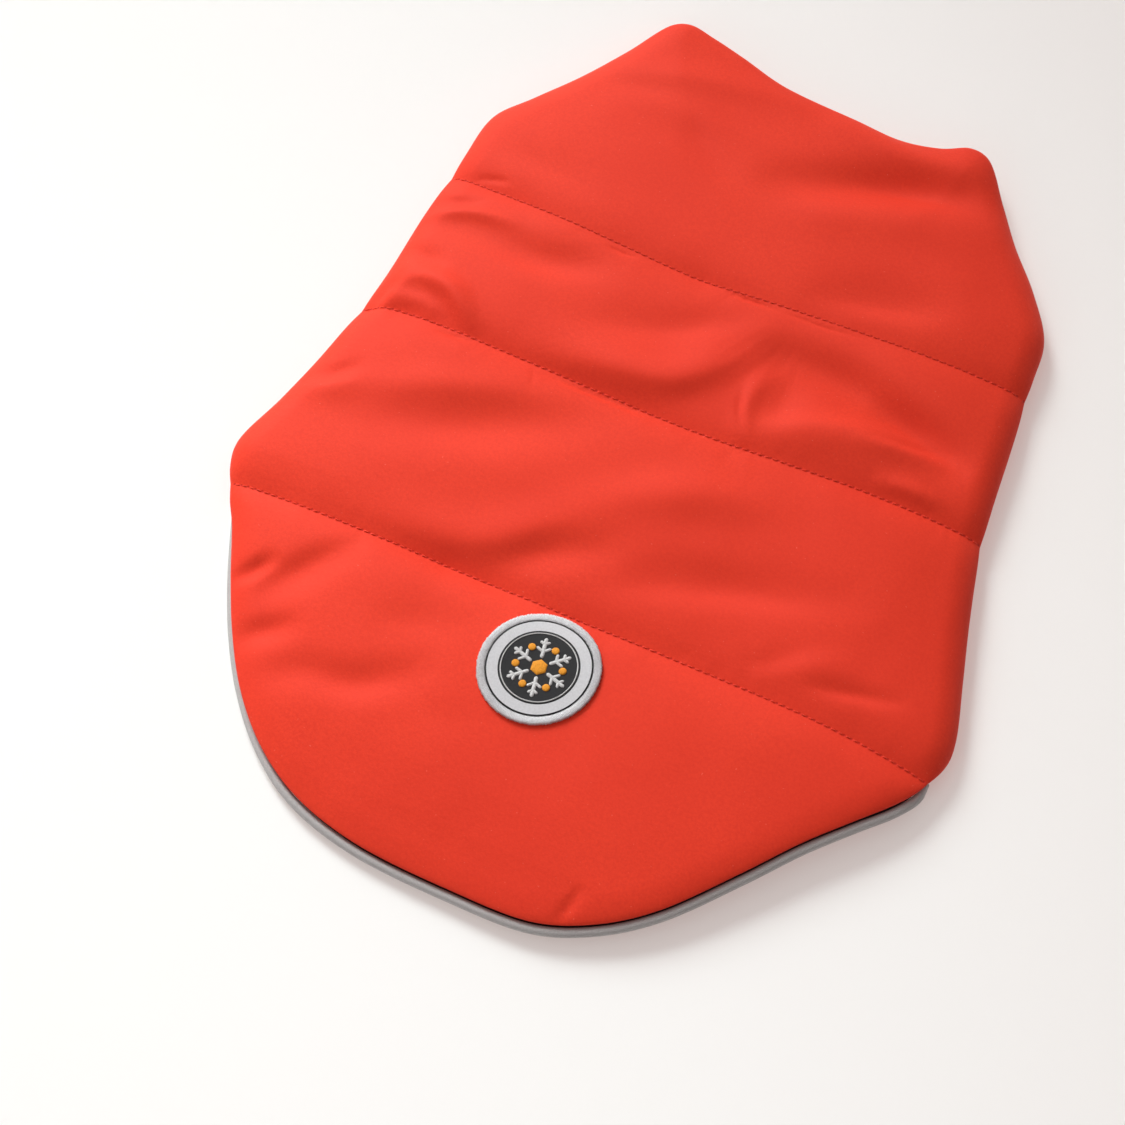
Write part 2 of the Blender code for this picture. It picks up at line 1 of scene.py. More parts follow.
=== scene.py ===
"""The looks of a padded winter coat for a cat, folded shut and laid on a table with its back up.

Frame: +Z up, the table at Z = 0, +Y towards the neck, X across the back. The tables below are in
millimetres, on the coat's own axes: X = 0 is the line of the spine, and Y = 0 lies a little neckward of
the last quilting line. MIDDLE is the frame's origin on those axes.

The back is one padded cloth, quilted along three lines, with its creases placed one by one. Its sides
roll under onto the folded wings. The tail hem carries a grey piping on a dark tape, and a round patch with
an overlocked border is sewn near the tail.
"""

import bpy
import numpy as np
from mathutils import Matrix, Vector, noise
from mathutils.bvhtree import BVHTree


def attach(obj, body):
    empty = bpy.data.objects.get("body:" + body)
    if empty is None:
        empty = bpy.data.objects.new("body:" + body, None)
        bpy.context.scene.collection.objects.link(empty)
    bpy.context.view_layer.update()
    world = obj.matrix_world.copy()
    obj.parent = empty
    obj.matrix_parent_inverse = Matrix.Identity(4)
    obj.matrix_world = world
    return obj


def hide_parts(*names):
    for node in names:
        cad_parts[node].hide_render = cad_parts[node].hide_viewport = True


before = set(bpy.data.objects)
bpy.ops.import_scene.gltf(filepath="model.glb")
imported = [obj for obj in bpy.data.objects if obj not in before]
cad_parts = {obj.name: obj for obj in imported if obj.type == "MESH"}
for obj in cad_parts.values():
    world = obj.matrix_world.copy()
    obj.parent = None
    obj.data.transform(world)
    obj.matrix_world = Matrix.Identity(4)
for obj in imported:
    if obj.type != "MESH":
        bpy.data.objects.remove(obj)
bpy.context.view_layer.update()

MM = 0.001
MIDDLE = np.array((4.5, 41.6))
HIGH_ABOVE = 1.0  # metres, well clear of the coat

# Cloth and quilting
WALL = 5.5  # padded cloth between its two faces, away from the quilting lines
SEAM_GAP = 0.35  # room between the back and the wings under it
QUILT_DEPTH = 2.7  # how far a quilting line is sewn down into the padding
QUILT_REACH = 6.0  # how far from the line the padding takes to swell up again
QUILT_POWER = 1.2  # how sharply the line is drawn in: 1 is a crease, 2 a round groove
SHOULDER = 55.0  # how far in from the edge the back reaches its full height
SHOULDER_POWER = 2.4  # how full the shoulder is
FOLD_TAPER = 1.3  # how slowly a fold gains its full height, away from its two ends
FOLD_MARGIN = 3  # how many widths from its middle a fold still counts
RIM = 9.0  # width of the rounded edge, seen from above
TURNED_UNDER = 12.0  # width of the rolled edge, measured on the table
TURNED_SLOPE = 1.6  # how far the roll's inner side leans in
SEAM_PINCH = 0.3  # how far a quilting line draws the edge in, as a share of its depth

# Trim
PIPING_RADIUS = 1.6
TAPE_WIDTH = 3.0
TAPE_THICKNESS = 0.8
TAPE_DROP = 0.9  # its underside below the piping's middle

# Patch
PATCH_CENTRE = (2.6, -42.2)
PATCH_RADIUS = 20.0
PATCH_OVAL = 0.94  # its width across, as a share of its length
PATCH_HEADING = 39.0  # degrees from +X to its length
PATCH_BORDER = 2.9
PATCH_LIFT = 0.5
PATCH_THICKNESS = 0.9
BORDER_THICKNESS = 0.95

# How finely the cloth is cut into faces. The inside is COARSER times coarser than the outside.
COLUMNS = 240
ROWS_IN_BAND = (84, 76, 68, 76)  # from the hem to the neck
COARSER = 4
ROW_CROWDING = 0.55  # how much closer the rows lie beside the quilting lines
HOLLOW_SHARE = 0.955  # where in the tail band the wings under the back begin
UPPER_RIM_ANGLES = (8, 17, 26, 35, 44, 53, 62, 71, 80, 90)
LOWER_RIM_ANGLES = (20, 40, 60, 75, 90)
CURVE_STEPS = 24  # points between two rows of a table, before they are spaced evenly
RAIL_POWER = 6  # how near its ends a row of the grid leaves the quilting line for the border
NEAR_POWER = 3  # how fast a stretch of the edge loses its say with distance
CHUNK = 4000  # points handled at once, so that the tables of distances stay small

# The coat's edge from above, anticlockwise: the bound tail hem, the right fold, the neck, the left fold.
# crown: height of the cloth just inside the edge. out: how far the middle of the piping stands outside
# the red edge. piping: height of its middle. reach: how far in the underside comes down to the table.
HEM = (
    # x, y, crown, out, piping, reach
    (-117.2, -26.2, 10.8, -2.6, 1.95, 12),
    (-112.0, -34.3, 10.0, -0.9, 1.95, 12),
    (-103.3, -52.0, 9.0, -0.1, 1.95, 12),
    (-93.9, -69.1, 8.2, 0.1, 1.95, 12),
    (-82.6, -85.3, 7.6, 0.1, 1.95, 12),
    (-68.7, -98.9, 7.2, 0.6, 1.95, 12),
    (-52.0, -108.9, 7.0, 1.3, 2.1, 12),
    (-29.0, -115.2, 7.1, 1.5, 2.4, 14),
    (5.4, -117.1, 7.9, 1.5, 3.1, 18),
    (34.5, -115.8, 8.7, 1.5, 4.0, 26),
    (52.3, -108.7, 9.5, 1.5, 4.9, 34),
    (67.7, -97.5, 10.5, 1.5, 6.0, 40),
    (86.9, -75.8, 11.8, 1.5, 7.3, 44),
    (100.0, -59.5, 12.3, 1.5, 7.8, 44),
    (112.0, -46.4, 12.2, 1.5, 7.6, 36),
    (122.0, -35.5, 11.9, 1.5, 6.6, 24),
    (127.2, -28.8, 11.8, 0.4, 5.4, 16),
    (129.9, -23.6, 11.6, -2.2, 4.4, 13),
)
RIGHT_FOLD = (
    # x, y
    (132.2, -14.5), (131.6, -6.5), (126.4, 13.0), (121.2, 32.0),
    (117.0, 50.0), (113.8, 70.0), (111.6, 95.0), (109.2, 123.0),
    (107.4, 138.0), (97.8, 153.6), (85.6, 168.2), (76.0, 181.8),
)
NECK = (
    # x, y
    (65.0, 195.2), (58.0, 196.8), (48.7, 192.5), (34.8, 189.6), (17.5, 190.8),
    (-10.6, 193.2), (-27.8, 198.1), (-40.7, 201.4), (-50.8, 203.2), (-56.6, 200.4),
)
LEFT_FOLD = (
    # x, y
    (-67.8, 184.5), (-78.2, 168.7), (-89.7, 153.9), (-99.2, 141.3),
    (-101.7, 122.6), (-104.3, 94.6), (-105.9, 68.5), (-109.1, 49.5),
    (-112.6, 31.3), (-117.6, 12.3), (-123.5, -7.4), (-122.1, -16.0),
)
# crown, height of the widest point, height of the underside at the edge, reach
FOLD_HEIGHTS = (11.2, 5.8, 0.0, 12.0)
NECK_HEIGHTS = (11.8, 9.2, 6.6, 900.0)
HEM_OVER_TAPE = 0.7  # the hem's underside over the piping's middle, where the piping lies clear
HEM_LIP = 1.4  # the hem's widest point over its underside
ROLL_MARGIN = 0.1  # added where the cloth rolls over the piping
LIFTED = 1.0  # an underside higher than this is a hem or the neck, and not a fold
# How far in the underside turns flat, at the hem and neck, and at the folds
HEM_TURN = 3.0
FOLD_TURN = 5.0

# The three quilting lines, from the tail to the neck, each from left to right: x, y.
QUILT_LINES = (
    ((-120.8, -22.2), (-108, -21.7), (-60, -21.2), (0, -21.3), (77, -21.2), (102, -22.3), (130, -25)),
    ((-108, 53.6), (-98, 56), (-60, 55.9), (-20, 55.2), (12, 54.5), (50, 56.3), (78, 58.1), (115, 58.8)),
    ((-102.6, 113), (-80, 111.2), (-40, 108.6), (-8, 107.3), (16, 108.6), (50, 110.8), (110, 114)),
)
STITCH_PITCH = 2.6
# How hard each line draws the padding down along its length: x, share of QUILT_DEPTH
SEAM_PULL = (
    (
        ((-120, 0.9), (-90, 0.8), (-60, 1.1), (-40, 1.5), (-25, 1.3))
        + ((-8, 0.85), (8, 1.0), (30, 0.75), (95, 0.75), (130, 1.0))
    ),
    (
        ((-108, 1.1), (-85, 0.85), (-60, 1.0), (-25, 1.15), (0, 1.1))
        + ((18, 0.8), (55, 0.7), (80, 1.05), (115, 1.0))
    ),
    (
        ((-103, 1.1), (-75, 0.95), (-52, 0.55), (-25, 0.6), (-5, 0.9))
        + ((15, 0.55), (45, 0.5), (70, 0.7), (110, 0.9))
    ),
)

# Height of the cloth along the spine, before it is quilted.
SPINE = (
    # y, height
    (-117, 10.0), (-100, 12.9), (-85, 14.1), (-70, 14.8), (-55, 15.2), (-40, 15.5),
    (-18, 15.4), (15, 17.0), (112, 17.5), (165, 17.0), (204, 14.0),
)

# The large soft folds: points along each, then its width on its left and on its right, seen
# along it, and how far it rises (a ridge) or sinks (a trough). From the tail to the neck.
FOLDS = (
    (((-94, -59), (-85, -46), (-76, -35), (-65, -23)), 5, 7, -1.92),
    (((-97, -73), (-85, -65.5), (-72, -57)), 4, 5, -1.56),
    (((-84, -83), (-66, -72.5), (-50, -70), (-38, -63), (-24, -53)), 6, 6, -1.68),
    (((-56, -49), (-36, -42), (-16, -39)), 8, 6, -0.84),
    (((-72, -15), (-46, -13), (-32, -9), (-22, -1), (-14, 6), (-4, 11), (12, 15)), 8, 5.5, 1.35),
    (((-30, -20), (-17, -9), (-8, -3), (0, 1), (14, 5)), 5, 6, -1.08),
    (((-18, 13), (2, 22), (16, 29), (30, 35), (60, 40)), 8, 8, 1.68),
    (((2, -12), (22, -1), (36, 4), (50, 8.5), (66, 13), (96, 21)), 9, 6, -1.92),
    (((-114, 9), (-90, 14), (-70, 19.5), (-50, 27.5), (-32, 36), (0, 50)), 9, 9, -2.0),
    (((-108, 24), (-88, 28), (-70, 35), (-50, 42), (-24, 48)), 6, 6, 0.96),
    (((-104, 67), (-92, 70.5), (-82, 69), (-75, 64.5), (-66, 56)), 5, 3.5, 2.88),
    (((-52, 59), (-34, 62.5), (-24, 64), (-8, 66), (2, 69.5), (10, 77), (17, 86), (28, 104)), 9, 6, 2.7),
    (((-40, 77), (-12, 84), (3, 92), (22, 107)), 7, 5, -1.2),
    (((22, 57), (40, 66), (53, 71.5), (66, 75.5), (96, 81)), 5.5, 9, 2.28),
    (((6, 88), (35, 91.5), (54, 91), (72, 86.5), (112, 73)), 8, 10, -4.2),
    (((-112, 93), (-76, 93), (-56, 92.5), (-28, 99)), 7, 7, -1.92),
    (((-74, 93), (-58, 92), (-44, 95), (-34, 99)), 7, 5, -0.9),
    (((62, 88), (74, 86.5), (86, 83.5), (104, 78)), 7, 5, -2.2),
    (((24, 116), (44, 121), (60, 125), (80, 131)), 9, 5, -1.6),
    (((0, 145), (25, 149.5), (60, 161)), 8, 9, 1.2),
    (((-8, 150), (12, 157), (25, 162), (42, 168), (60, 173), (86, 180)), 9, 8, -3.8),
    (((16, 162), (32, 166.5), (46, 169.5), (70, 176)), 8, 4, -1.5),
    (((6, 189), (30, 184.5), (46, 183), (70, 186)), 5, 6, 1.68),
    (((-72, 171.5), (-50, 177.5), (-36, 181), (-22, 183.5), (6, 187)), 6, 5, 1.08),
)

# The finer creases, in the same columns.
CREASES = (
    (((-106, -55), (-98, -49), (-90, -39)), 3, 3, -1.84),
    (((40, -116), (42, -108), (44, -99)), 1.6, 2.4, -0.8),
    (((-38, -61), (-22, -70), (-4, -67)), 5, 5, -0.46),
    (((58, -15), (70, -9), (80, -1)), 4, 4, -0.69),
    (((62, -15), (78, -7), (98, 1)), 5, 5, 0.8),
    (((79, -13), (97, -9), (116, -4)), 3, 2.4, -0.92),
    (((-114, 21), (-104, 26), (-94, 34)), 2.8, 2.5, -0.92),
    (((-114, 15), (-104, 20), (-92, 27)), 2.4, 5, 0.92),
    (((-104, 48), (-100.5, 58), (-95, 71)), 1.8, 6, 1.15),
    (((-106, 54), (-102.5, 63), (-99, 73)), 1.6, 1.8, -0.69),
    (((-106, 80.5), (-97, 78.5), (-85, 76.5)), 4, 3, -1.03),
    (((-102, 59.5), (-90, 61.5), (-78, 59.5)), 3, 3, 0.8),
    (((33, 55), (28.5, 62), (26.5, 70), (27, 78), (31, 87)), 3.5, 3.5, 1.1),
    (((40, 64), (37, 71), (37, 79), (41, 88)), 5, 6, -0.92),
    (((23, 76), (25, 67), (31, 58.5)), 1.2, 1.4, -0.92),
    (((64, 76), (78, 78.6), (96, 83.5)), 1.3, 1.3, -0.57),
    (((60, 73), (80, 76), (100, 79)), 2, 3.6, 0.92),
    (((73, 62.5), (86, 64), (100, 64)), 3, 3, 1.15),
    (((-107, 92), (-97, 96.5), (-90, 99.5), (-80, 101), (-68, 101)), 1.8, 2.8, 1.15),
    (((-104, 99), (-96, 102), (-84, 105)), 2.4, 2.5, -0.92),
    (((-94, 113.5), (-86.5, 115.3), (-79, 116)), 1.3, 1.1, -0.57),
    (((-42, 53.4), (-20, 53.6), (2, 53.3)), 0.8, 0.9, -0.57),
    (((-80, 53.4), (-74, 54), (-66, 54.6)), 0.8, 0.8, -0.52),
    (((3, 106.3), (13, 106.7), (24, 107)), 0.8, 0.8, -0.69),
    (((20, 107), (36, 107.3), (54, 108.8)), 0.8, 0.8, -0.46),
    (((-42, 106), (-35, 105.5), (-28, 106)), 0.8, 0.8, -0.52),
    (((-96, 128), (-70, 127), (-46, 122)), 7, 5, -0.8),
    (((-60, 154), (-38, 157), (-20, 152), (2, 141)), 6, 6, -0.92),
    (((-36, 166), (-29, 160), (-18, 156)), 3, 3, -0.46),
    (((-74, 165), (-56, 170), (-36, 172)), 4, 6, -0.69),
)

# Colours, linear
RED = (0.80, 0.044, 0.015)
DEEP_RED = (0.70, 0.030, 0.011)
# painted shade: the darker red put into the needle holes, where shade falls into the small pits
HOLE_PAINTED_SHADE_RED = (0.50, 0.013, 0.007)
SPECK_PINK = (0.95, 0.30, 0.22)
THREAD_RED = (0.80, 0.046, 0.018)
LINING = (0.28, 0.022, 0.018)
PIPING_GREY = (0.44, 0.425, 0.42)
TAPE_BLACK = (0.010, 0.008, 0.008)
FIELD_BLACK = (0.012, 0.012, 0.014)
FIELD_PALE = (0.58, 0.58, 0.60)
THREAD_GREY = (0.78, 0.78, 0.80)
THREAD_WHITE = (0.66, 0.66, 0.66)
THREAD_ORANGE = (0.88, 0.35, 0.03)
TABLE_WHITE = (0.60, 0.64, 0.64)
TABLE_PAINTED_GLOW = (0.335, 0.28, 0.262)  # painted glow: warm light that the table gives off itself, which lightens the shadows on it and tints them red


# ---------------------------------------------------------------- the coat's form

CROWN, WIDEST, UNDER, REACH, OUT, LEVEL = range(2, 8)  # the columns of the edge after x and y
EDGE_CHORD = 9.0  # how far ahead and behind the edge is read for its direction


def lengths_along(line):
    """How far along a line each of its points lies, seen from above."""
    return np.concatenate(([0], np.cumsum(np.hypot(*np.diff(line[:, :2], axis=0).T))))


def to_the_right(ahead):
    """Unit vectors to the right of these directions."""
    ahead = ahead / np.linalg.norm(ahead, axis=1)[:, None]
    return np.column_stack((ahead[:, 1], -ahead[:, 0]))


def blend(share, a, b):
    return (1 - share) * a + share * b


def evenly(count):
    """This many turns round a circle, in radians."""
    return np.linspace(0, 2 * np.pi, count, endpoint=False)


def smooth(rows, closed=False, step=1.0):
    """Points step mm apart on a smooth curve through the rows. The later columns run along with it."""
    rows = np.array(rows, float)
    if closed:
        knots = np.vstack((rows[-1:], rows, rows[:2]))
    else:
        knots = np.vstack((2 * rows[0] - rows[1], rows, 2 * rows[-1] - rows[-2]))
    stretches = []
    for a, b, c, d in zip(knots, knots[1:], knots[2:], knots[3:]):
        tb = np.hypot(*(b - a)[:2]) ** 0.5
        tc = tb + np.hypot(*(c - b)[:2]) ** 0.5
        td = tc + np.hypot(*(d - c)[:2]) ** 0.5
        t = np.linspace(tb, tc, CURVE_STEPS, endpoint=False)[:, None]
        ab = a + (b - a) * t / tb
        bc = b + (c - b) * (t - tb) / (tc - tb)
        cd = c + (d - c) * (t - tc) / (td - tc)
        abc = ab + (bc - ab) * t / tc
        bcd = bc + (cd - bc) * (t - tb) / (td - tb)
        stretches.append(abc + (bcd - abc) * (t - tb) / (tc - tb))
    fine = np.vstack(stretches + [rows[:1] if closed else rows[-1:]])
    along = lengths_along(fine)
    places = np.linspace(0, along[-1], int(round(along[-1] / step)) + 1)
    return np.column_stack([np.interp(places, along, column) for column in fine.T])


def hem_row(x, y, crown, out, piping, reach):
    """A row of the edge. Where the cloth rolls over the piping, its underside clears the piping's top."""
    clear = PIPING_RADIUS + SEAM_GAP
    over = max(HEM_OVER_TAPE, max(0, clear**2 - max(0, out) ** 2) ** 0.5 + ROLL_MARGIN)
    return x, y, crown, piping + over + HEM_LIP, piping + over, reach, out, piping


def edge_rows():
    """The rows of the whole edge: x, y, crown, widest, under, reach, and the piping's out and level."""
    first, last = HEM[0][3:5], HEM[-1][3:5]
    right = [(x, y, *FOLD_HEIGHTS, *last) for x, y in RIGHT_FOLD]
    neck = [(x, y, *NECK_HEIGHTS, *first) for x, y in NECK]
    left = [(x, y, *FOLD_HEIGHTS, *first) for x, y in LEFT_FOLD]
    return [hem_row(*row) for row in HEM] + right + neck + left


class Edge:
    """The closed line round the coat, as points 1 mm apart with the columns of edge_rows."""

    def __init__(self):
        self.rows = smooth(edge_rows(), closed=True)
        self.rows[:, UNDER] = np.maximum(self.rows[:, UNDER], 0)
        self.rows[:, REACH] = np.maximum(self.rows[:, REACH], TURNED_UNDER)
        self.along = lengths_along(self.rows)
        self.length = self.along[-1]

    def at(self, along):
        """The columns at these distances along the edge from the hem's left end."""
        places = np.mod(along, self.length)
        return np.column_stack([np.interp(places, self.along, column) for column in self.rows.T])

    def outward(self, along, chord=EDGE_CHORD):
        """Unit vectors that point out of the coat, averaged over a chord so that corners stay round."""
        return to_the_right((self.at(np.add(along, chord)) - self.at(np.subtract(along, chord)))[:, :2])

    def nearest(self, point):
        """The distance along the edge at which it comes closest to a point."""
        return self.along[np.argmin(np.hypot(*(self.rows[:, :2] - point[:2]).T))]


EDGE = Edge()
SEAMS = [smooth(line) for line in QUILT_LINES]


def from_edge(points):
    """For each point its distance to the edge, and the edge's columns averaged over the places near it."""
    inset, near = [], []
    for start in range(0, len(points), CHUNK):
        apart = np.linalg.norm(points[start : start + CHUNK, None] - EDGE.rows[None, :-1, :2], axis=2)
        weight = 1 / (apart**NEAR_POWER + 1)
        inset.append(apart.min(axis=1))
        near.append(weight @ EDGE.rows[:-1] / weight.sum(axis=1)[:, None])
    return np.concatenate(inset), np.concatenate(near)


def folds_at(points, folds):
    """How far these folds lift or sink the cloth. Each runs out softly at its two ends."""
    rise = np.zeros(len(points))
    for along, left, right, height in folds:
        line = smooth(along)
        margin = FOLD_MARGIN * max(left, right)
        inside = (points > line.min(axis=0) - margin) & (points < line.max(axis=0) + margin)
        near = np.flatnonzero(inside.all(axis=1))
        if not len(near):
            continue
        offset = points[near][:, None, :] - line
        apart = np.linalg.norm(offset, axis=2)
        closest = apart.argmin(axis=1)
        ahead = np.gradient(line, axis=0)[closest]
        gap = offset[np.arange(len(near)), closest]
        on_left = ahead[:, 0] * gap[:, 1] > ahead[:, 1] * gap[:, 0]
        width = np.where(on_left, left, right)
        full = np.sin(np.pi * closest / (len(line) - 1)).clip(0) ** FOLD_TAPER
        rise[near] += height * full * np.exp(-((apart.min(axis=1) / width) ** 2))
    return rise


def cloth_height(points):
    """Height of the back before it is quilted: a low crown that falls away to the edge's own height."""
    inset, near = from_edge(points)
    crown = near[:, CROWN]
    y, height = np.array(SPINE).T
    spine = np.interp(points[:, 1], y, height)
    share = 1 - (1 - np.minimum(inset / SHOULDER, 1)) ** SHOULDER_POWER
    return crown + (spine - crown) * share


def from_seam(points, line):
    """How far each point lies neckward of a quilting line."""
    return points[:, 1] - np.interp(points[:, 0], line[:, 0], line[:, 1])


# The short ripples beside the quilting lines
PUCKERS_SEED = 7
PUCKER_MARGIN = 4  # how far in from a line's two ends the puckers begin
PUCKER_SPACING = (4.0, 11.0)
PUCKER_SHAPE = (
    (-0.5, 0.5),  # lean
    (2.5, 9.0),  # length
    (0.9, 2.0),  # width
    (-0.16, 0.14),  # rise
)
PUCKER_GAIN = 3.2  # makes a pucker's peak about as high as its rise
PUCKER_FADE = 1.6
PUCKER_FADE_POWER = 1.5
PUCKER_LENGTHS = 2.5  # how many of its lengths, and of its widths, a pucker still counts for
PUCKER_WIDTHS = 6


def make_puckers():
    """The short ripples that run from the quilting lines out into the padding, unevenly spaced."""
    draw = np.random.default_rng(PUCKERS_SEED)
    puckers = []
    for number, line in enumerate(SEAMS):
        x = line[0, 0] + PUCKER_MARGIN
        while x < line[-1, 0] - PUCKER_MARGIN:
            side = draw.choice((-1, 1))
            puckers.append((number, x, side, *(draw.uniform(*limits) for limits in PUCKER_SHAPE)))
            x += draw.uniform(*PUCKER_SPACING)
    return puckers


PUCKERS = make_puckers()


def puckers_at(points):
    """How far the puckers lift or sink the cloth."""
    rise = np.zeros(len(points))
    away = [from_seam(points, line) for line in SEAMS]
    for number, x, side, lean, length, width, height in PUCKERS:
        out = away[number] * side
        beside = np.abs(points[:, 0] - x) < PUCKER_WIDTHS * width + length
        near = np.flatnonzero((out > 0) & (out < PUCKER_LENGTHS * length) & beside)
        across = points[near, 0] - x - lean * out[near]
        reach = out[near] / length
        fade = -PUCKER_FADE * reach**PUCKER_FADE_POWER - (across / width) ** 2
        rise[near] += height * PUCKER_GAIN * reach * np.exp(fade)
    return rise


def quilting(points):
    """How far the quilting lines draw the outer face down."""
    drawn = np.zeros(len(points))
    for line, pull in zip(SEAMS, SEAM_PULL):
        away = np.abs(from_seam(points, line))
        depth = QUILT_DEPTH * np.interp(points[:, 0], *np.array(pull).T)
        drawn = np.maximum(drawn, depth * np.exp(-((away / QUILT_REACH) ** QUILT_POWER)))
    return drawn


WAVES = (
    # size in mm, rise in mm
    (34.0, 0.45),
    (13.0, 0.12),
    (5.5, 0.035),
)
WAVES_APART = 7.3  # keeps the noise of one size clear of the next


def waves_at(points):
    """The cloth's own unevenness, at three sizes."""
    rise = np.zeros(len(points))
    for layer, (size, height) in enumerate(WAVES):
        level = layer * WAVES_APART
        rise += height * np.array([noise.noise((x / size, y / size, level)) for x, y in points])
    return rise


# ---------------------------------------------------------------- grids and meshes


def band_steps(count):
    """Shares of a band's width, closer together at the quilting lines that bound it."""
    t = np.arange(count + 1) / count
    return t - ROW_CROWDING * np.sin(2 * np.pi * t) / (2 * np.pi)


class Grid:
    """Rows and columns of points that fill the coat's outline, with the quilting lines on rows."""

    def __init__(self, coarser=1):
        self.columns = COLUMNS // coarser
        self.in_band = [count // coarser for count in ROWS_IN_BAND]
        self.rows = sum(self.in_band)
        self.seam_rows = list(np.cumsum(self.in_band)[:-1])
        self.shares = [band_steps(count) for count in self.in_band]
        self.hollow_row = int(np.argmax(self.shares[0] >= HOLLOW_SHARE))
        places = self.loop_places()
        self.outward = EDGE.outward(places)
        self.round = EDGE.at(places)

    def loop_places(self):
        """Distances along the edge at which the rows and columns meet it, anticlockwise."""
        hem_left, hem_right = EDGE.nearest(HEM[1]), EDGE.nearest(HEM[-2])
        neck_right, neck_left = EDGE.nearest(NECK[0]), EDGE.nearest(NECK[-1])
        up = [hem_right] + [EDGE.nearest(line[-1]) for line in SEAMS] + [neck_right]
        down = [EDGE.length + hem_left] + [EDGE.nearest(line[0]) for line in SEAMS] + [neck_left]
        right, left = [], []
        for band, shares in enumerate(self.shares):
            right += list(up[band] + (up[band + 1] - up[band]) * shares[:-1])
            left += list(down[band] + (down[band + 1] - down[band]) * shares[:-1])
        hem = np.linspace(hem_left, hem_right, self.columns + 1)[:-1]
        neck = np.linspace(neck_right, neck_left, self.columns + 1)
        return np.concatenate((hem, right, neck, left[:0:-1]))

    def ring_at(self, inset):
        """The loop of grid ends, moved in from the edge."""
        return self.round[:, :2] - self.outward * np.reshape(inset, (-1, 1))

    def inside(self, ring):
        """Rows of points inside a loop, as rows x columns x 2. The quilting lines each run along one row."""
        columns, rows = self.columns, self.rows
        hem = ring[: columns + 1]
        right = ring[columns : columns + rows + 1]
        neck = ring[columns + rows : 2 * columns + rows + 1][::-1]
        left = np.vstack((ring[2 * columns + rows :], ring[:1]))[::-1]
        u = np.linspace(0, 1, columns + 1)[:, None]
        rails = [hem]
        for line, row in zip(SEAMS, self.seam_rows):
            x = left[row, 0] + (right[row, 0] - left[row, 0]) * u[:, 0]
            y = np.interp(x, line[:, 0], line[:, 1])
            y += (left[row, 1] - y[0]) * (1 - u[:, 0]) ** RAIL_POWER
            y += (right[row, 1] - y[-1]) * u[:, 0] ** RAIL_POWER
            rails.append(np.column_stack((x, y)))
        rails.append(neck)
        found, start = [], 0
        for band, shares in enumerate(self.shares):
            low, high = rails[band], rails[band + 1]
            for step, v in enumerate(shares[: None if band == len(self.shares) - 1 else -1]):
                sides = blend(u, left[start + step], right[start + step])
                corners = blend(u, blend(v, low[0], high[0]), blend(v, low[-1], high[-1]))
                found.append(blend(v, low, high) + sides - corners)
            start += self.in_band[band]
        return np.array(found)


FINE = Grid()
INNER = Grid(COARSER)
MEDIUM = Grid(2)


def loop_of(grid):
    """The border of a grid of points or of their numbers, anticlockwise."""
    return np.concatenate((grid[0, :-1], grid[:-1, -1], grid[-1, :0:-1], grid[:0:-1, 0]))


def lifted(points):
    """Height of the underside where the cloth is raised off the table along its edge."""
    inset, near = from_edge(points)
    return near[:, UNDER] * np.maximum(0, 1 - inset / near[:, REACH]) ** 2


def outer_rings(grid):
    """The back's outer face from the grid's border round the edge to its underside."""
    widest, under = grid.round[:, WIDEST], grid.round[:, UNDER]
    rings = []
    for angle in np.radians(UPPER_RIM_ANGLES):
        flat = grid.ring_at(RIM * (1 - np.sin(angle)))
        height = cloth_height(flat) + detail_at(flat)
        drawn = quilting(flat)
        flat = flat - grid.outward * (SEAM_PINCH * drawn * np.sin(angle))[:, None]
        z = widest + (height - widest) * np.cos(angle) - drawn * np.cos(angle)
        rings.append(np.column_stack((flat, z)))
    turn = np.where(under > LIFTED, HEM_TURN, FOLD_TURN)
    for angle in np.radians(LOWER_RIM_ANGLES):
        flat = grid.ring_at(turn * (1 - np.cos(angle)))
        drawn = quilting(flat) * np.cos(angle)
        flat = flat - grid.outward * (SEAM_PINCH * drawn)[:, None]
        rings.append(np.column_stack((flat, widest - (widest - under) * np.sin(angle))))
    return rings


def inner_grid(grid):
    """The back's plain inner face: on the table at the tail, over the folded wings further up."""
    flat = grid.inside(grid.ring_at(TURNED_UNDER + TURNED_SLOPE))
    shape = flat.shape[:2]
    points = flat.reshape(-1, 2)
    height = lifted(points).reshape(shape)
    height[grid.hollow_row :] = (cloth_height(points) - WALL).reshape(shape)[grid.hollow_row :]
    return np.dstack((flat, height))


def detail_at(points):
    """All the cloth's folds, creases, puckers and waves."""
    return folds_at(points, FOLDS + CREASES) + puckers_at(points) + waves_at(points)


def outer_grid(grid):
    """The back's outer face inside its rounded edge, with all its detail."""
    flat = grid.inside(grid.ring_at(RIM))
    points = flat.reshape(-1, 2)
    height = cloth_height(points) + detail_at(points) - quilting(points)
    return np.dstack((flat, height.reshape(flat.shape[:2])))


